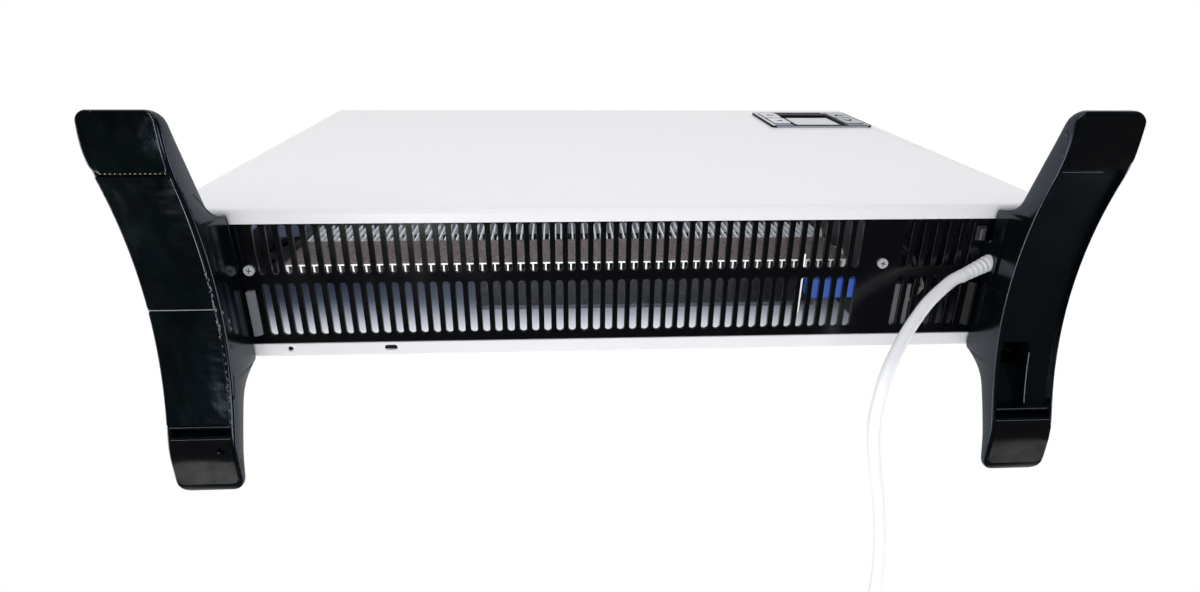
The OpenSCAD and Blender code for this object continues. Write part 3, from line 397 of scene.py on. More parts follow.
def rounding_group():
    """Geometry group that joins a tessellated solid's faces and marks the edges sharper than an angle."""
    tree = bpy.data.node_groups.new(JOIN_GROUP, "GeometryNodeTree")
    for way in ("INPUT", "OUTPUT"):
        tree.interface.new_socket("Geometry", in_out=way, socket_type="NodeSocketGeometry")
    source = add(tree, "NodeGroupInput")
    joined = add(tree, "GeometryNodeMergeByDistance", {"Geometry": source, "Distance": 0.002 * MM})
    angle = add(tree, "GeometryNodeInputMeshEdgeAngle", out="Unsigned Angle")
    sharp = add(tree, "FunctionNodeCompare", (angle, SHARP_ANGLE), operation="GREATER_THAN")
    smooth = add(tree, "GeometryNodeSetShadeSmooth", {0: joined, "Shade Smooth": True}, domain="FACE")
    inputs = {"Geometry": smooth, "Name": "sharp_edge", "Value": sharp}
    stored = add(tree, "GeometryNodeStoreNamedAttribute", inputs, data_type="BOOLEAN", domain="EDGE")
    add(tree, "NodeGroupOutput", (stored,))
    return tree


def dress(name, finish, rounding=0.0, flat=False):
    """Gives a CAD node its material, smooth shading between its sharp edges, and rounded edges."""
    piece = nodes[name]
    piece.data.materials.clear()
    piece.data.materials.append(finish)
    if "custom_normal" in piece.data.attributes:
        piece.data.attributes.remove(piece.data.attributes["custom_normal"])
    join = bpy.data.node_groups.get(JOIN_GROUP) or rounding_group()
    piece.modifiers.new("Join", "NODES").node_group = join
    if flat:
        faces = piece.modifiers.new("Whole flat faces", "DECIMATE")
        faces.decimate_type = "DISSOLVE"
        faces.angle_limit = math.radians(0.5)
    if rounding:
        edges = piece.modifiers.new("Round edges", "BEVEL")
        edges.width = rounding
        edges.segments = 2
        edges.limit_method = "ANGLE"
        edges.angle_limit = ROUNDED_ANGLE
        edges.harden_normals = True


def new_object(name, data):
    """Object in the scene for a mesh, a curve, a lamp or a camera."""
    made = bpy.data.objects.new(name, data)
    bpy.context.scene.collection.objects.link(made)
    return made


def new_piece(name, build, finish, body=BODY, smooth=True):
    """Mesh object filled by a bmesh function, with a finish in its material slot, on a body."""
    mesh = bpy.data.meshes.new(name)
    shape = bmesh.new()
    build(shape)
    bmesh.ops.recalc_face_normals(shape, faces=shape.faces)
    shape.to_mesh(mesh)
    shape.free()
    mesh.materials.append(finish)
    if smooth:
        mesh.shade_smooth()
        mesh.set_sharp_from_angle(angle=ROUNDED_ANGLE)
    piece = new_object(name, mesh)
    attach(piece, body)
    return piece


def polar(radius, angle):
    return radius * math.cos(angle), radius * math.sin(angle)


def rectangle(a_low, a_high, b_low, b_high):
    return [(a_low, b_low), (a_high, b_low), (a_high, b_high), (a_low, b_high)]


def add_tube(shape, places, radius, sides=8):
    """Thread, bead or fine cord along some places, with round ends."""
    places = [Vector(place) for place in places]
    last = len(places) - 1
    start, end = (places[1] - places[0]).normalized(), (places[-1] - places[-2]).normalized()
    swell = [polar(radius, math.radians(angle)) for angle in (15, 40, 65)]
    rings = [(places[0] - start * back, thick, start) for back, thick in swell]
    for k, place in enumerate(places):
        rings.append((place, radius, (places[min(k + 1, last)] - places[max(k - 1, 0)]).normalized()))
    rings += [(places[-1] + end * back, thick, end) for back, thick in reversed(swell)]
    side = start.orthogonal()
    turns = [2 * math.pi * k / sides for k in range(sides)]
    loops = []
    for centre, thick, ahead in rings:
        side = (side - ahead * side.dot(ahead)).normalized()
        other = ahead.cross(side)
        around = [math.cos(t) * side + math.sin(t) * other for t in turns]
        loops.append([shape.verts.new(centre + thick * way) for way in around])
    for a, b in zip(loops, loops[1:]):
        for k in range(sides):
            shape.faces.new((a[k], a[k - 1], b[k - 1], b[k]))
    shape.faces.new(loops[0])
    shape.faces.new(reversed(loops[-1]))


def close_plate(shape, front, back):
    """Two like outlines joined along their border."""
    front = [shape.verts.new(place) for place in front]
    back = [shape.verts.new(place) for place in back]
    shape.faces.new(front)
    shape.faces.new(list(reversed(back)))
    for i in range(len(front)):
        shape.faces.new((front[i - 1], back[i - 1], back[i], front[i]))


def upright_plate(shape, outline, y_front, y_back):
    """Thin plate that faces the front, from an outline of (x, z) points."""
    close_plate(shape, [(x, y_front, z) for x, z in outline], [(x, y_back, z) for x, z in outline])


def level_plate(shape, outline, z_low, z_high):
    """Thin plate that lies flat, from an outline of (x, y) points."""
    close_plate(shape, [(x, y, z_low) for x, y in outline], [(x, y, z_high) for x, y in outline])


def middle(name):
    low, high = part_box(name)
    return (low + high) / 2


# Route of the cord from the strain relief to the coil, in metres
ROUTE = [
    (0.209, 0.0065, 0.027), (0.198, 0.016, 0.020), (0.189, 0.0265, 0.014),
    (0.181, 0.040, 0.0085), (0.176, 0.055, 0.0054), (0.174, 0.072, 0.0044), (0.174, 0.090, 0.0043),
    (0.177, 0.110, 0.0043), (0.182, 0.132, 0.0043), (0.188, 0.155, 0.0043), (0.193, 0.180, 0.0043),
    (0.197, 0.205, 0.0043), (0.1995, 0.230, 0.0043), (0.200, 0.255, 0.0043), (0.200, 0.280, 0.0043),
    (0.200, 0.305, 0.0043), (0.200, 0.321, 0.0043),
]
RELIEF_START = Vector((0.2556, -0.0144, 0.0436))
RELIEF_END = Vector((0.233, -0.006, 0.0375))
COIL_CENTRE = Vector((0.146, 0.330))
COIL_TURNS = 4.25
CORD_Z = 0.0043
PLUG_BACK = Vector((0.100, 0.384, 0.019))
LEAD_STEPS = 10


def ease(s):
    s = min(max(s, 0), 1)
    return s * s * (3 - 2 * s)


def smooth_path(points, steps):
    """Points of a smooth curve through the given ones."""
    path = []
    for i in range(len(points) - 1):
        a = points[max(i - 1, 0)]
        b, c = points[i], points[i + 1]
        d = points[min(i + 2, len(points) - 1)]
        for k in range(steps):
            t = k / steps
            path.append(0.5 * (2 * b + (c - a) * t + (2 * a - 5 * b + 4 * c - d) * t * t
                               + (3 * b - a - 3 * c + d) * t ** 3))
    return [*path, points[-1]]


def cord_path(sizes):
    """The cord's whole centreline: the free run, the coil and the lead to the plug."""
    axis = (RELIEF_END - RELIEF_START).normalized()
    run = [RELIEF_END, RELIEF_END + axis * 8 * MM, *[Vector(p) for p in ROUTE]]
    path = smooth_path(run, 6)
    for i in range(1, round(COIL_TURNS * sizes.coil_steps) + 1):
        turn = i / sizes.coil_steps
        inward = min(turn, COIL_TURNS - turn)
        height = CORD_Z + sizes.coil_pitch * ease((turn - COIL_TURNS / 2) * 2 + 0.5)
        radius = sizes.coil_radius - sizes.coil_pitch * inward
        path.append(Vector((*(COIL_CENTRE + Vector(polar(radius, 2 * math.pi * turn))), height)))
    end = path[-1]
    lead = end.x - PLUG_BACK.x - sizes.cord_d
    for i in range(1, LEAD_STEPS + 1):
        s = i / LEAD_STEPS
        path.append(Vector((end.x - lead * s, end.y, end.z + (PLUG_BACK.z - end.z) * ease(s))))
    path.append(PLUG_BACK)
    return path


# The arch under a foot: its middle, half its length, its rise, and the radius that leads into it
ARCH_Y = 1.5 * MM
ARCH_HALF = 94 * MM
ARCH_RISE = 18 * MM
ARCH_BLEND = 60 * MM
ARCH_RADIUS = (ARCH_HALF ** 2 + ARCH_RISE ** 2) / (2 * ARCH_RISE)
BLEND_END = math.sqrt((ARCH_RADIUS + ARCH_BLEND) ** 2 - (ARCH_RADIUS + ARCH_BLEND - ARCH_RISE) ** 2)
BLEND_START = BLEND_END * ARCH_RADIUS / (ARCH_RADIUS + ARCH_BLEND)
# Inner flanks of the feet: distance from the middle at the floor, and how much they lean inwards
FLANK_X = 258 * MM
FLANK_LEAN = 0.07
# Depths of the covering's seam, and of the dried glue along its inner edge
SEAM_Y = 3 * MM
GLUE_Y = -24 * MM
GLUE_END = 79 * MM
THICK_GLUE_END = 22 * MM
# Beads of glue on the left foot's flank: depth, height and run in millimetres
GLUE_BEADS = ((4.7, 19.9, 1.2), (12.7, 24.9, 1.6), (18.5, 24.9, 1.2))
# Marks on the inner flanks of the left (-1) and right (1) foot, as (depth, height) in millimetres
RIDGE = (
    (-72, 17), (-66.5, 21.8), (-57.6, 29.2), (-52, 38.5),
    (-48.9, 45), (-41.7, 46.6), (-22.9, 48.1), (-2.9, 49.5),
)
# Ejector slots as (side, start, end): drawn with painted shade inside and painted highlights at their ends
SLOTS = ((-1, (49.5, 17.0), (63.7, 12.2)), (-1, (106, 4.2), (115, 4.2)), (1, (-112.5, 5.6), (-108.5, 4.6)))
# Painted highlights on the right flank, as (side, start, end)
PAINTED_GLINTS = ((1, (-96.6, 3.2), (-95.6, 3.2)), (1, (-14.9, 41.6), (-14, 41.6)), (1, (-28.5, 47), (-26, 48.5)))


def arch_height(y):
    """Height of the feet's arch over the floor at depth y."""
    a = abs(y - ARCH_Y)
    if a < BLEND_START:
        return math.sqrt(ARCH_RADIUS ** 2 - a * a) - ARCH_RADIUS + ARCH_RISE
    if a < BLEND_END:
        return ARCH_BLEND - math.sqrt(ARCH_BLEND ** 2 - (BLEND_END - a) ** 2)
    return 0.0


def on_arch(x, y, height):
    """Point at a height over the feet's arch."""
    return Vector((x, y, arch_height(y) + height))


def on_flank(side, y, z, proud=0.0):
    """Point on the inner flank of the left (-1) or right (1) foot."""
    return Vector((side * (FLANK_X - FLANK_LEAN * z - proud), y, z))


class Cover:
    """Leather over thin foam, glued under a foot: its plan, and the face that it shows below."""

    def __init__(self, x_out, x_in, y_front, y_rear, hem_y, thick, edge, bulge=0.0, corner=1.6 * MM):
        self.middle = Vector(((x_out + x_in) / 2, (y_front + y_rear) / 2))
        self.half = Vector(((x_in - x_out) / 2, (y_rear - y_front) / 2))
        self.hem_y = hem_y
        self.thick = thick
        self.edge = edge
        self.bulge = bulge
        self.corner = corner

    def spread_out(self, along):
        """Places from one edge to the other along an axis, close together on the rounded edges."""
        half, step = self.half[along], 1.1 * MM
        count = max(3, round((half - self.edge) / step))
        row = [self.edge * (1 - math.cos(math.radians(15 * k))) for k in range(7)]
        row += [self.edge + (half - self.edge) * k / count for k in range(1, count + 1)]
        left = [e - half for e in row]
        return left + [-v for v in reversed(left[:-1])]

    def place(self, x, y):
        """Point of the plan with round corners, and its distance from the plan's edge."""
        s = (abs(x) - self.half.x + self.corner) / self.corner
        t = (abs(y) - self.half.y + self.corner) / self.corner
        far = min(self.half.x - abs(x), self.half.y - abs(y))
        if s > 0 and t > 0:
            s, t = s * math.sqrt(1 - t * t / 2), t * math.sqrt(1 - s * s / 2)
            far = self.corner * (1 - math.hypot(s, t))
            x = math.copysign(self.half.x - self.corner + self.corner * s, x)
            y = math.copysign(self.half.y - self.corner + self.corner * t, y)
        outer = max(0.0, -x / self.half.x)
        x -= self.bulge * outer * outer * math.cos(math.pi / 2 * y / self.half.y)
        return Vector((self.middle.x + x, self.middle.y + y)), max(far, 0.0)

    def turned(self, far):
        """How far the rounded edge turns up, at a distance from the plan's edge."""
        return self.edge - math.sqrt(max(self.edge ** 2 - max(self.edge - far, 0.0) ** 2, 0.0))

    def face(self, point, far):
        """Height of the face: a rounded edge, a soft crown, shallow creases, and gathers along the hem."""
        def folds(run, width, layer, depth):
            return noise.noise((point.x / run, point.y / width, layer)) * depth

        crown = 0.5 * MM * (1 - ease(far / (13 * MM)))
        creases = folds(13 * MM, 5 * MM, 3.1, 0.16 * MM) + folds(4 * MM, 2.4 * MM, 7.7, 0.05 * MM)
        hem = math.exp(-max(far - 1.2 * MM, 0) / (2.2 * MM)) * ease(far / (1.2 * MM))
        gather = noise.noise((point.y / (1.9 * MM), 0.4, self.middle.y / MM)) * 0.16 * MM * hem
        ends = 0.35 + 0.65 * ((point.x - self.middle.x) / self.half.x) ** 2
        pull = math.exp(-abs(point.y - self.hem_y) / (5 * MM)) * ends * ease(far / (1.5 * MM))
        pucker = folds(2.6 * MM, 8 * MM, 5.3, 0.65 * MM) * pull
        swell = crown + creases * ease(far / (3 * MM)) + gather + pucker
        return arch_height(point.y) + 0.06 * MM + self.turned(far) + max(swell, -0.04 * MM)

    def build(self, shape):
        """Closed form: the face below and a plain back above, joined along the edge."""
        rows = []
        for y in self.spread_out(1):
            row = []
            for x in self.spread_out(0):
                point, far = self.place(x, y)
                low = self.face(point, far)
                high = max(arch_height(point.y) + self.thick - self.turned(far), low + 0.02 * MM)
                row.append((shape.verts.new((*point, low)), shape.verts.new((*point, high))))
            rows.append(row)
        for a, b in zip(rows, rows[1:]):
            for k in range(len(a) - 1):
                shape.faces.new((a[k][0], b[k][0], b[k + 1][0], a[k + 1][0]))
                shape.faces.new((a[k][1], a[k + 1][1], b[k + 1][1], b[k][1]))
        border = [*rows[0], *[row[-1] for row in rows[1:]], *reversed(rows[-1][:-1]),
                  *[row[0] for row in reversed(rows[1:-1])]]
        for a, b in zip(border, [*border[1:], border[0]]):
            shape.faces.new((a[0], b[0], b[1], a[1]))

    def border(self, inset, height):
        """Places along the plan's front and inner edge, some way in from it and over the face's rim."""
        x, y = self.half.x - inset, self.half.y - inset
        start = self.corner * 1.5 - x
        steps = 24
        plan = [(start + (x - start) * k / steps, -y) for k in range(steps + 1)]
        plan += [(x, y * (2 * k / steps - 1)) for k in range(1, steps + 1)]
        return [on_arch(*self.place(*place)[0], height) for place in plan]

    def surface(self, x, y):
        """Height of the face over a place near it, in the object's own coordinates."""
        far = min(self.half.x - abs(x - self.middle.x), self.half.y - abs(y - self.middle.y))
        return self.face(Vector((x, y)), max(far, 0.0))


class HEATER_OT_stage(bpy.types.Operator):
    """Makes the camera, the floor, the lamps and the world"""

    bl_idname = "heater.stage"
    bl_label = "Studio"

    def execute(self, context):
        studio = context.scene.heater_studio
        self.make_camera(context)
        self.make_floor(context)
        self.make_world(context, studio)
        low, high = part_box("inlet_grille")
        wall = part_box("compartment_wall")[0].x
        inside = Vector(((low.x + wall) / 2, 0, high.z + SHEET))
        fins = Vector((inside.x, low.y + 2 * SHEET, middle("element_upper").z))
        upward, rearward = Vector((0, 0, 1)), Vector((0, 1, 0))
        lamps = (
            ("Below", (0.0, -1.3, -0.75), TARGET, 1.3, 0.5, studio.below_power),
            ("Front", (-0.5, -1.9, 1.0), TARGET, 1.4, 1.4, studio.front_power),
            ("Behind", (0.0, 0.7, -1.2), TARGET, 1.3, 0.5, studio.back_power),
            ("Above", (0.5, 0.2, 2.3), TARGET, 1.6, 1.6, studio.top_power),
            ("Inside", inside, inside + upward, wall - low.x, high.y - low.y, studio.inside_power),
            ("Inside front", fins, fins + rearward, wall - low.x, 50 * MM, studio.fins_power),
            ("Gleam left", (-0.45, 0.33, -0.3), (-0.28, 0.105, 0), 0.09, 0.06, studio.gleam_power * 1.6),
            ("Gleam right", (0.52, 0.33, -0.3), (0.28, 0.105, 0), 0.09, 0.06, studio.gleam_power),
            ("Crease", (-0.38, 0.08, -0.8), (-0.28, -0.09, 0), 0.34, 0.16, studio.crease_power),
            ("Rim left", (-1.4, 0.4, -0.27), TARGET, 0.8, 0.4, studio.rim_power * 1.5),
            ("Rim right", (1.4, 0.4, -0.27), TARGET, 0.8, 0.4, studio.rim_power),
        )
        for name, place, target, width, height, power in lamps:
            self.make_lamp(name, Vector(place), Vector(target), width, height, power)
        context.scene.view_settings.view_transform = "Standard"
        return {"FINISHED"}

    def make_camera(self, context):
        """Camera under the floor in front of the heater, which looks up at it as in the photo."""
        ahead = Vector((0, math.sin(PITCH), math.cos(PITCH)))
        above = Vector((0, -math.cos(PITCH), math.sin(PITCH)))
        right = Vector((1, 0, 0))
        ahead, right = (ahead * math.cos(YAW) + right * math.sin(YAW),
                        right * math.cos(YAW) - ahead * math.sin(YAW))
        right, above = (right * math.cos(ROLL) + above * math.sin(ROLL),
                        above * math.cos(ROLL) - right * math.sin(ROLL))
        data = bpy.data.cameras.new("Photo camera")
        data.sensor_width = SENSOR_W
        data.lens = SENSOR_W * FOCAL / PHOTO_W
        data.clip_start = 0.01
        camera = new_object("Photo camera", data)
        turn = Matrix((right, above, -ahead)).transposed().to_4x4()
        camera.matrix_world = Matrix.Translation(CAMERA_PLACE) @ turn
        context.scene.camera = camera

    def make_floor(self, context):
        """Pale floor, clear to the camera from below, to the lamps' light and to what gloss mirrors."""
        mesh = bpy.data.meshes.new("Floor")
        corners = rectangle(-FLOOR_HALF, FLOOR_HALF, -FLOOR_HALF, FLOOR_HALF)
        mesh.from_pydata([(*corner, 0) for corner in corners], [], [(0, 1, 2, 3)])
        made = bpy.data.materials.new("Studio floor")
        made.use_nodes = True
        tree = made.node_tree
        tree.nodes.clear()
        solid = add(tree, "ShaderNodeBsdfDiffuse", {"Color": context.scene.heater_colours.floor})
        clear = add(tree, "ShaderNodeBsdfTransparent")
        rays = add(tree, "ShaderNodeLightPath").node.outputs
        way = add(tree, "ShaderNodeNewGeometry", out="Backfacing")
        for ray in ("Is Shadow Ray", "Is Glossy Ray"):
            way = add(tree, "ShaderNodeMath", (way, rays[ray]), operation="MAXIMUM")
        mixed = add(tree, "ShaderNodeMixShader", (way, solid, clear))
        add(tree, "ShaderNodeOutputMaterial", {"Surface": mixed})
        mesh.materials.append(made)
        new_object("Floor", mesh)

    def make_world(self, context, studio):
        """White to the camera and to glass, softly shaded from top to bottom to all else."""
        world = bpy.data.worlds.new("Studio world")
        context.scene.world = world
        world.use_nodes = True
        tree = world.node_tree
        tree.nodes.clear()
        rays = add(tree, "ShaderNodeLightPath").node.outputs
        way = add(tree, "ShaderNodeTexCoord", out="Generated")
        up = add(tree, "ShaderNodeSeparateXYZ", (way,), "Z")
        light = (up, -0.35, 0.35, studio.lower_light, studio.upper_light)
        plain = add(tree, "ShaderNodeMapRange", light)
        gloss = (up, -0.5, 0.3, studio.lower_gloss, studio.upper_gloss)
        glossy = add(tree, "ShaderNodeMapRange", gloss)
        seen = add(tree, "ShaderNodeMix", {"Factor": rays["Is Glossy Ray"], "A": plain, "B": glossy})
        straight = (rays["Is Camera Ray"], rays["Is Transmission Ray"])
        shown = add(tree, "ShaderNodeMath", straight, operation="MAXIMUM")
        strength = add(tree, "ShaderNodeMix", {"Factor": shown, "A": seen, "B": 1.0})
        shine = add(tree, "ShaderNodeBackground", {"Color": (1, 1, 1), "Strength": strength})
        add(tree, "ShaderNodeOutputWorld", {"Surface": shine})

    def make_lamp(self, name, place, target, width, height, power):
        """Area lamp that the camera doesn't see, and that gloss mirrors only where it is meant to."""
        data = bpy.data.lights.new(name, "AREA")
        data.shape = "RECTANGLE"
        data.size = width
        data.size_y = height
        data.energy = power
        lamp = new_object(name, data)
        lamp.location = place
        lamp.rotation_mode = "QUATERNION"
        lamp.rotation_quaternion = (target - place).to_track_quat("-Z", "Y")
        lamp.visible_camera = False
        lamp.visible_glossy = name.split()[0] in MIRRORED_LAMPS


class HEATER_OT_cord(bpy.types.Operator):
    """Lays the mains cord and finishes its sleeve and plug"""

    bl_idname = "heater.cord"
    bl_label = "Cord and plug"

    def execute(self, context):
        sizes = context.scene.heater_sizes
        tint = context.scene.heater_colours.cord
        path = cord_path(sizes)
        data = bpy.data.curves.new("mains_cord", "CURVE")
        data.dimensions = "3D"
        data.bevel_depth = sizes.cord_d / 2
        data.bevel_resolution = 5
        line = data.splines.new("POLY")
        line.points.add(len(path) - 1)
        for point, place in zip(line.points, path):
            point.co = (*place, 1)
        line.use_smooth = True
        data.materials.append(cord_sheath(tint))
        cord = new_object("mains_cord", data)
        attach(cord, BODY)
        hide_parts("cord_run", "cord_coil")
        moulding = moulded_plastic("White PVC moulding", tint, 0.36, 1.6 * MM)
        pins = plain_metal("Nickel-plated brass", linear("#D5D2CB"), 0.2)
        dress("strain_relief", moulding)
        dress("plug_body", moulding, 0.6 * MM)
        dress("plug_pins", pins)
        dress("plug_earth_clips", pins, 0.15 * MM)
        return {"FINISHED"}


class HEATER_OT_casing(bpy.types.Operator):
    """Finishes the two white panels and their screws, and darkens the holes in the lower lip with painted
    shade
    """

    bl_idname = "heater.casing"
    bl_label = "Casing"

    def execute(self, context):
        edge = context.scene.heater_sizes.edge_round
        low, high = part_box("back_panel")
        enamel = gloss_enamel(context.scene.heater_colours.enamel, Vector((high.x, high.y)), low.z, high.z)
        dress("front_panel", enamel, edge)
        dress("back_panel", enamel, edge, flat=True)
        dress("back_screws", plain_metal("Zinc-plated screw", linear("#A9ABAD"), 0.3), 0.2 * MM)
        # Painted shade: black discs over the holes in the lower lip, where the dark inside shows through
        plug = satin_enamel("Painted hole shade", linear("#08090A"), 0.5)
        new_piece("lip_hole_shades", self.build_hole_shades, plug)
        return {"FINISHED"}

    def build_hole_shades(self, shape):
        """Two flat black discs, one round and one long, over the holes in the back panel's lower lip inside:
        painted shade for the dark casing seen through them.
        """
        low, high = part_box("back_panel")
        y, radius, count = high.y - 7 * MM, 2.6 * MM, 24
        arc = [polar(radius, 2 * math.pi * k / count) for k in range(count)]
        for x, half in ((low.x + 68 * MM, 0), (low.x + 137 * MM, 5 * MM)):
            outline = [(x + math.copysign(half, across) + across, y + along) for across, along in arc]
            level_plate(shape, outline, low.z + SHEET + 0.05 * MM, low.z + 2 * SHEET)


class HEATER_OT_grilles(bpy.types.Operator):
    """Finishes the two grilles, their screws, the spring clips and the room sensor"""

    bl_idname = "heater.grilles"
    bl_label = "Grilles"

    def execute(self, context):
        enamel = satin_enamel("Satin black enamel", context.scene.heater_colours.grille, 0.16)
        finishes = {
            "inlet_grille": (enamel, 0.3),
            "outlet_grille": (enamel, 0.3),
            "grille_screws": (plain_metal("Bright zinc plating", linear("#D6D8DA"), 0.3, 0.4), 0.4),
            "room_sensor": (moulded_plastic("Sensor resin", linear("#3A3C40"), 0.35), 0.2),
            "foot_clip_left": (moulded_plastic("Grey nylon", linear("#70727A"), 0.32), 0.3),
            "foot_clip_right": (moulded_plastic("Black nylon", linear("#101113"), 0.4), 0.3),
        }
        for name, (finish, rounding) in finishes.items():
            dress(name, finish, rounding * MM)
        # Painted shade: a dark cross on each screw head stands for its recess
        shadow = satin_enamel("Shadowed recess", linear("#1B1C1E"), 0.5)
        new_piece("grille_screw_recess_shades", self.build_recess_shades, shadow)
        return {"FINISHED"}

    def build_recess_shades(self, shape):
        """Dark cross on the head of each grille screw: painted shade for its cross recess."""
        low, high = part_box("grille_screws")
        radius, arm, turn = (high.y - low.y) / 2, 1.5 * MM, 0.3 * MM
        for x in (low.x + radius, high.x - radius):
            centre = Vector((x, low.y + radius, low.z + 0.1 * MM))
            for way in (Vector((arm, turn, 0)), Vector((-turn, arm, 0))):
                add_tube(shape, (centre - way, centre + way), 0.35 * MM)


class HEATER_OT_inside(bpy.types.Operator):
    """Finishes the heating element and all that the casing holds"""

    bl_idname = "heater.inside"
    bl_label = "Inside"

    def execute(self, context):
        colours = context.scene.heater_colours
        zinc = galvanised_steel()
        board = circuit_board()
        black = moulded_plastic("Black phenolic", linear("#141517"))
        finishes = {
            "compartment_wall": satin_enamel("Grey enamelled steel", colours.inner_steel, 0.42),
            "element_bracket_left": black,
            "heat_shield": zinc,
            "overheat_cutout": zinc,
            "element_lower": coated_aluminium(colours.element),
            "element_upper": bright_aluminium(),
            "heating_rod": plain_metal("Oxidised steel sheath", linear("#3B3A3C"), 0.45),
            "rod_insulators": glazed_ceramic(),
            "element_strap": moulded_plastic("Glass-fibre tape", linear("#F1F1EE"), 0.6, 0.8 * MM, 0.1 * MM),
            "terminal_block": moulded_plastic("Blue nylon", colours.connector, 0.35),
            "tilt_switch": moulded_plastic("Grey nylon housing", linear("#6C6E70"), 0.45),
            "power_board": board,
            "control_board": board,
            "board_standoffs": plain_metal("Turned brass", linear("#C9A45C"), 0.25),
            "power_relays": black,
            "tact_switches": black,
            "power_transformer": moulded_plastic("Yellow winding tape", linear("#D9A520"), 0.3),
            "inner_wiring": moulded_plastic("Glass-fibre sleeve", linear("#DEDEDA"), 0.6),
        }
        for name, finish in finishes.items():
            dress(name, finish)
        return {"FINISHED"}


class HEATER_OT_control(bpy.types.Operator):
    """Finishes the control unit: bezel, window, display and buttons with their signs"""

    bl_idname = "heater.control"
    bl_label = "Control unit"

    def execute(self, context):
        tint = context.scene.heater_colours.bezel
        graphite = moulded_plastic("Graphite ABS", tint, Specular_IOR_Level=0.03)
        dress("control_bezel", graphite, 0.3 * MM)
        dress("display_window", clear_window(), 0.2 * MM)
        dress("lcd_panel", display_glass())
        pale = moulded_plastic("Silver-grey ABS", linear("#D5D6DD"), 0.3)
        dark = moulded_plastic("Slate ABS", linear("#A5A8B0"), 0.3)
        ink = moulded_plastic("Screen-printed ink", linear("#101116"), 0.5, Specular_IOR_Level=0.0)
        buttons = {
            "button_up": (dark, self.chevron(1)),
            "button_down": (dark, self.chevron(-1)),
            "button_power": (pale, self.ring()),
            "button_mode": (pale, self.bars()),
        }
        for name, (finish, sign) in buttons.items():
            dress(name, finish, 0.5 * MM)
            self.add_sign(name, sign, ink)
        self.add_trim(ink, pale, dark)
        return {"FINISHED"}

    def add_sign(self, name, sign, ink):
        """Prints a sign on a button, from outlines of (x, z) points round the cap's middle."""
        centre, face = middle(name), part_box(name)[0].y

        def build(shape):
            for outline in sign:
                points = [(centre.x + x, centre.z + z) for x, z in outline]
                upright_plate(shape, points, face - PRINT_PROUD, face + PRINT_DEEP)

        new_piece(name + "_sign", build, ink, name + "_key", smooth=False)

    def chevron(self, way):
        """Chevron that points up (1) or down (-1)."""
        half, rise, thick = 4.6 * MM, 3.4 * MM, 5.04 * MM
        upper = [(-half, -rise), (0, rise), (half, -rise)]
        lower = [(x, z - thick) for x, z in reversed(upper)]
        return [[(x, z * way) for x, z in upper + lower]]

    def ring(self):
        """Open ring with a stroke through its gap."""
        outer, inner, gap, steps = 4.2 * MM, 2.7 * MM, math.radians(32), 24
        angles = [math.pi / 2 + gap + 2 * (math.pi - gap) * k / steps for k in range(steps + 1)]
        arcs = [polar(outer, a) for a in angles] + [polar(inner, a) for a in reversed(angles)]
        return [arcs, rectangle(-0.7 * MM, 0.7 * MM, 0.4 * MM, 5.2 * MM)]

    def bars(self):
        """Three bars of rising height."""
        width, pitch, foot, rise = 1.7 * MM, 2.6 * MM, -4.5 * MM, 3 * MM
        starts = [(k - 1.4) * pitch for k in range(3)]
        return [rectangle(x, x + width, foot, (k - 0.6) * rise) for k, x in enumerate(starts)]

    def add_trim(self, ink, pale, dark):
        """Frames round the buttons, the light lower edge, the strips, printed lines beside the display, and
        a black band across its top that is painted shade for the gap under the bezel.
        """
        low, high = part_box("control_bezel")
        window_low, window_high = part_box("display_window")
        front, back, window_back = low.y - 0.03 * MM, low.y + 0.3 * MM, window_low.y + PRINT_DEEP
        rim, line, band, gap, inset = 1.6 * MM, 3.2 * MM, 15 * MM, 0.4 * MM, 5 * MM

        def add_plates(name, finish, plates):
            def build(shape):
                for *sides, rear in plates:
                    upright_plate(shape, rectangle(*sides), front, rear)

            new_piece(name, build, finish, smooth=False)

        def build_edge(shape):
            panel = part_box("front_panel")[0].y - 0.15 * MM
            outline = rectangle(low.x + inset, high.x - inset, low.y + 0.35 * MM, panel)
            level_plate(shape, outline, low.z - 0.06 * MM, low.z + 0.2 * MM)

        left, right = low.x + rim, high.x - rim
        left_key, right_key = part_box("button_power")[0].x - gap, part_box("button_up")[1].x + gap
        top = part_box("button_up")[1].z + gap
        upper, lower = (top, high.z - rim, back), (low.z + rim, top, back)
        add_plates("control_frame_left", pale,
                   [(left, window_low.x - line, *upper), (left, left_key, *lower)])
        add_plates("control_frame_right", dark,
                   [(window_high.x + line, right, *upper), (right_key, right, *lower)])
        new_piece("control_edge", build_edge, dark, smooth=False)
        # Printed black lines beside the window, and a black band across its top: painted shade for the dark
        # gap between bezel and display
        side = (low.z + line, window_high.z, back)
        add_plates("control_mask_and_shade", ink, [
            (window_low.x - line, window_low.x, *side), (window_high.x, window_high.x + line, *side),
            (window_low.x, window_high.x, window_high.z - band, window_high.z, window_back),
        ])
        keys = [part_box(name) for name in ("button_mode", "button_down")]
        strips = [(key.x, far.x, low.z + 2 * MM, key.z - 1.5 * MM, back) for key, far in keys]
        slate = moulded_plastic("Slate print", linear("#8388A0"), Specular_IOR_Level=0.2)
        add_plates("control_strips", slate, strips)


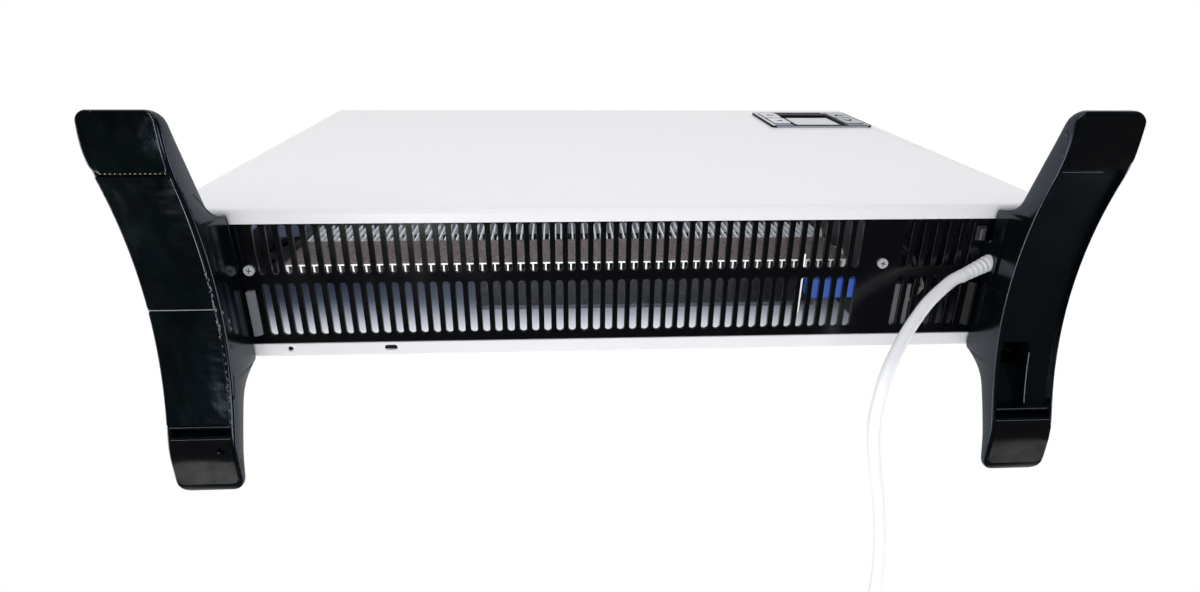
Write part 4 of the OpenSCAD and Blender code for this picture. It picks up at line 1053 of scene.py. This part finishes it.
class HEATER_OT_feet(bpy.types.Operator):
    """Finishes the feet, their marks, pads and screws, and the cord clamp"""

    bl_idname = "heater.feet"
    bl_label = "Feet"

    def execute(self, context):
        plastic = foot_plastic(context.scene.heater_colours.foot)
        for name in ("foot_left", "foot_right"):
            dress(name, plastic, context.scene.heater_sizes.foot_round)
        pad = rubber(linear("#090A0C"))
        for name in ("foot_pad_front_right", "foot_pad_rear_left", "foot_pad_rear_right"):
            dress(name, pad, 0.5 * MM)
        dress("foot_screws", plain_metal("Zinc-plated foot screw", linear("#A9ABAD"), 0.3), 0.3 * MM)
        dress("cord_gland", plastic, 0.4 * MM)
        new_piece("foot_flank_ridge", self.build_ridge, plastic)
        # Painted shade in the ejector slots of the flanks, drawn as dark tubes
        slot_shade = satin_enamel("Painted slot shade", linear("#020203"), 0.7)
        new_piece("foot_flank_slot_shades", self.build_slot_shades, slot_shade)
        # Painted highlights: grey beads along edges and marks of the feet
        edge_highlight = moulded_plastic("Painted edge highlight", linear("#5E636A"), 0.25)
        new_piece("foot_painted_highlights", self.build_painted_highlights, edge_highlight)
        return {"FINISHED"}

    def along(self, side, points, proud=0.0):
        """Places on a foot's inner flank, from depths and heights in millimetres."""
        return [on_flank(side, y * MM, z * MM, proud) for y, z in points]

    def build_ridge(self, shape):
        """Ridge of the left foot round the saddle."""
        add_tube(shape, smooth_path(self.along(-1, RIDGE), 5), 0.5 * MM)

    def build_slot_shades(self, shape):
        """Dark tubes, mostly sunk into the flanks where the ejector slots are: painted shade for the slots.
        """
        for side, start, end in SLOTS:
            add_tube(shape, self.along(side, (start, end), -0.7 * MM), 0.9 * MM)

    def build_painted_highlights(self, shape):
        """Painted highlights, as grey beads: at the slots' ends, on the right flank, under the feet beside
        soles and pads, along the right foot's pocket and in a pad's hole.
        """
        for side, start, end in SLOTS:
            for y, z in (start, end):
                add_tube(shape, self.along(side, ((y - 0.5, z + 0.6), (y + 0.5, z + 0.6))), 0.3 * MM)
        for side, start, end in PAINTED_GLINTS:
            add_tube(shape, self.along(side, (start, end)), 0.35 * MM)
        # Painted highlights along the edges under the feet, beside soles and pads
        sole_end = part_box("foot_sole_left")[1].y + 0.3 * MM
        pad_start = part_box("foot_pad_rear_left")[0].y - 0.2 * MM
        left_x, right_x, steps = -299, 260.5, 4
        for x, y, run in ((259.5, -87 * MM, 25), (left_x, sole_end, 40), (left_x, pad_start, 38),
                          (right_x, sole_end, 36), (right_x, pad_start, 38)):
            edge = [on_arch((x + run * k / steps) * MM, y, 0.1 * MM) for k in range(steps + 1)]
            add_tube(shape, edge, 0.22 * MM)
        # Painted highlight along the edge of the right foot's pocket
        pocket_highlight = [on_arch(279.8 * MM, y * MM, 0.15 * MM) for y in range(42, 78, 5)]
        add_tube(shape, pocket_highlight, 0.25 * MM)
        # Painted highlight in the hole of the left rear pad
        bead = Vector((-269.9 * MM, 98.4 * MM, 0.9 * MM))
        add_tube(shape, (bead, bead + Vector((0.4 * MM, 0, 0))), 0.5 * MM)


class HEATER_OT_covering(bpy.types.Operator):
    """Covers the left foot with stitched leather, and adds the seams and the dried glue along its edge"""

    bl_idname = "heater.covering"
    bl_label = "Leather covering"

    def execute(self, context):
        sizes = context.scene.heater_sizes
        colours = context.scene.heater_colours
        hide = leather(colours.leather)
        low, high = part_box("foot_sole_left")
        foot_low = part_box("foot_left")[0]
        hem_y = low.y + 1.2 * MM
        outer, inner = foot_low.x + 0.2 * MM, high.x + 0.6 * MM
        seam = 0.35 * MM
        tip = Cover(outer, inner, foot_low.y - 0.5 * MM, hem_y, hem_y, thick=3.4 * MM, edge=1.5 * MM,
                    bulge=1.6 * MM, corner=6 * MM)
        front = Cover(outer, inner, hem_y + 0.1 * MM, SEAM_Y - seam, hem_y, thick=2.3 * MM, edge=1.0 * MM)
        rear = Cover(outer, inner, SEAM_Y + seam, high.y, hem_y, thick=2.3 * MM, edge=1.0 * MM)
        for name, cover, node in (("foot_cover_tip", tip, "foot_pad_front_left"),
                                  ("foot_cover_front", front, "foot_sole_left"),
                                  ("foot_cover_rear", rear, "foot_sole_left")):
            piece = new_piece(name, cover.build, hide)
            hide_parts(node)
        self.add_stitches(tip, outer + 3 * MM, high.x - 0.5 * MM, hem_y - 1.3 * MM, sizes, colours)
        self.add_binding(tip, inner, hide)
        self.add_piping(outer + 0.6 * MM, high.x - 0.4 * MM)
        self.add_glue(high.x)
        return {"FINISHED"}

    def add_binding(self, tip, inner, hide):
        """Rolled edge of the leather: round the tip, and along the inner edge as far as the glue."""
        rim = tip.border(0.7 * MM, 0.55 * MM)
        start, end, count = tip.hem_y + 1.5 * MM, GLUE_Y, 40
        depths = [start + (end - start) * k / count for k in range(count + 1)]
        edge = [on_arch(inner - 0.2 * MM, y, 0.45 * MM) for y in depths]

        def build(shape):
            add_tube(shape, rim, 0.55 * MM)
            add_tube(shape, edge, 0.6 * MM)

        new_piece("foot_cover_binding", build, hide)

    def add_stitches(self, cover, start, end, y, sizes, colours):
        """A row of lockstitches along the hem: each dips into its holes at both ends."""
        draw = random.Random(5)
        count = int((end - start) / sizes.stitch_pitch)

        def build(shape):
            for k in range(count):
                x = start + (k + 0.5) * (end - start) / count
                half = (sizes.stitch_length - sizes.thread_d) / 2 * draw.uniform(0.8, 1.1)
                turn = draw.uniform(-0.12, 0.12) * MM
                places = []
                for s in (-1, -0.5, 0, 0.5, 1):
                    at_x, at_y = x + half * s, y + turn * s
                    dip = sizes.thread_d * (0.12 - 0.5 * s * s)
                    places.append(Vector((at_x, at_y, cover.surface(at_x, at_y) - dip)))
                add_tube(shape, places, sizes.thread_d / 2)

        new_piece("foot_cover_stitches", build, twisted_thread(colours.thread))

    def add_piping(self, start, end):
        """Fine pale cord laid into the seam across the sole, sunk a little deeper at its ends."""
        y, z, swell, steps = SEAM_Y - 0.5 * MM, arch_height(SEAM_Y) + 0.55 * MM, 0.25 * MM, 12
        places = []
        for s in (k / steps for k in range(steps + 1)):
            places.append(Vector((start + (end - start) * s, y, z - swell * math.sin(math.pi * s))))
        wax = moulded_plastic("Waxed piping cord", linear("#A9ABAE"), 0.35, 0.5 * MM)
        new_piece("foot_cover_piping", lambda shape: add_tube(shape, places, 0.32 * MM), wax)

    def add_glue(self, x):
        """Beads of dried glue that swelled out between the sole and the rim, and three on the flank."""
        draw = random.Random(11)
        finish = moulded_plastic("Dried contact glue", linear("#6C7076"), 0.15, 0.8 * MM, 0.05 * MM)

        def build(shape):
            y = GLUE_Y
            while y < GLUE_END:
                thick = y < THICK_GLUE_END
                radius = draw.uniform(0.3, 0.75) * MM if thick else draw.uniform(0.15, 0.34) * MM
                place = on_arch(x + draw.uniform(-0.2, 0.8) * MM, y, draw.uniform(0.25, 0.7) * MM)
                add_tube(shape, (place, place + Vector((0, draw.uniform(0.3, 1.6) * MM, 0))), radius, 7)
                y += draw.uniform(1.0, 2.2 if thick else 6.5) * MM
            for y, z, run in GLUE_BEADS:
                ends = [on_flank(-1, depth * MM, z * MM) for depth in (y, y + run)]
                add_tube(shape, ends, 0.55 * MM)

        new_piece("foot_cover_glue", build, finish)


class HEATER_PT_panel(bpy.types.Panel):
    """Lists the heater's sizes, colours, studio and steps"""

    bl_idname = "HEATER_PT_panel"
    bl_label = "Heater"
    bl_space_type = "VIEW_3D"
    bl_region_type = "UI"
    bl_category = "Heater"

    def draw(self, context):
        for group in (getattr(context.scene, name) for name in GROUPS):
            box = self.layout.box()
            for name in group.__annotations__:
                box.prop(group, name)
        for step in STEPS:
            self.layout.operator(step.bl_idname)


GROUPS = {"heater_sizes": HeaterSizes, "heater_colours": HeaterColours, "heater_studio": HeaterStudio}
STEPS = (
    HEATER_OT_stage, HEATER_OT_cord, HEATER_OT_casing, HEATER_OT_grilles, HEATER_OT_inside,
    HEATER_OT_control, HEATER_OT_feet, HEATER_OT_covering,
)
CLASSES = (*GROUPS.values(), *STEPS, HEATER_PT_panel)


def register():
    for made in CLASSES:
        bpy.utils.register_class(made)
    for name, group in GROUPS.items():
        setattr(bpy.types.Scene, name, PointerProperty(type=group))


def unregister():
    for name in GROUPS:
        delattr(bpy.types.Scene, name)
    for made in reversed(CLASSES):
        bpy.utils.unregister_class(made)


def main():
    register()
    for step in STEPS:
        group, name = step.bl_idname.split(".")
        getattr(getattr(bpy.ops, group), name)()


if __name__ == "__main__":
    main()
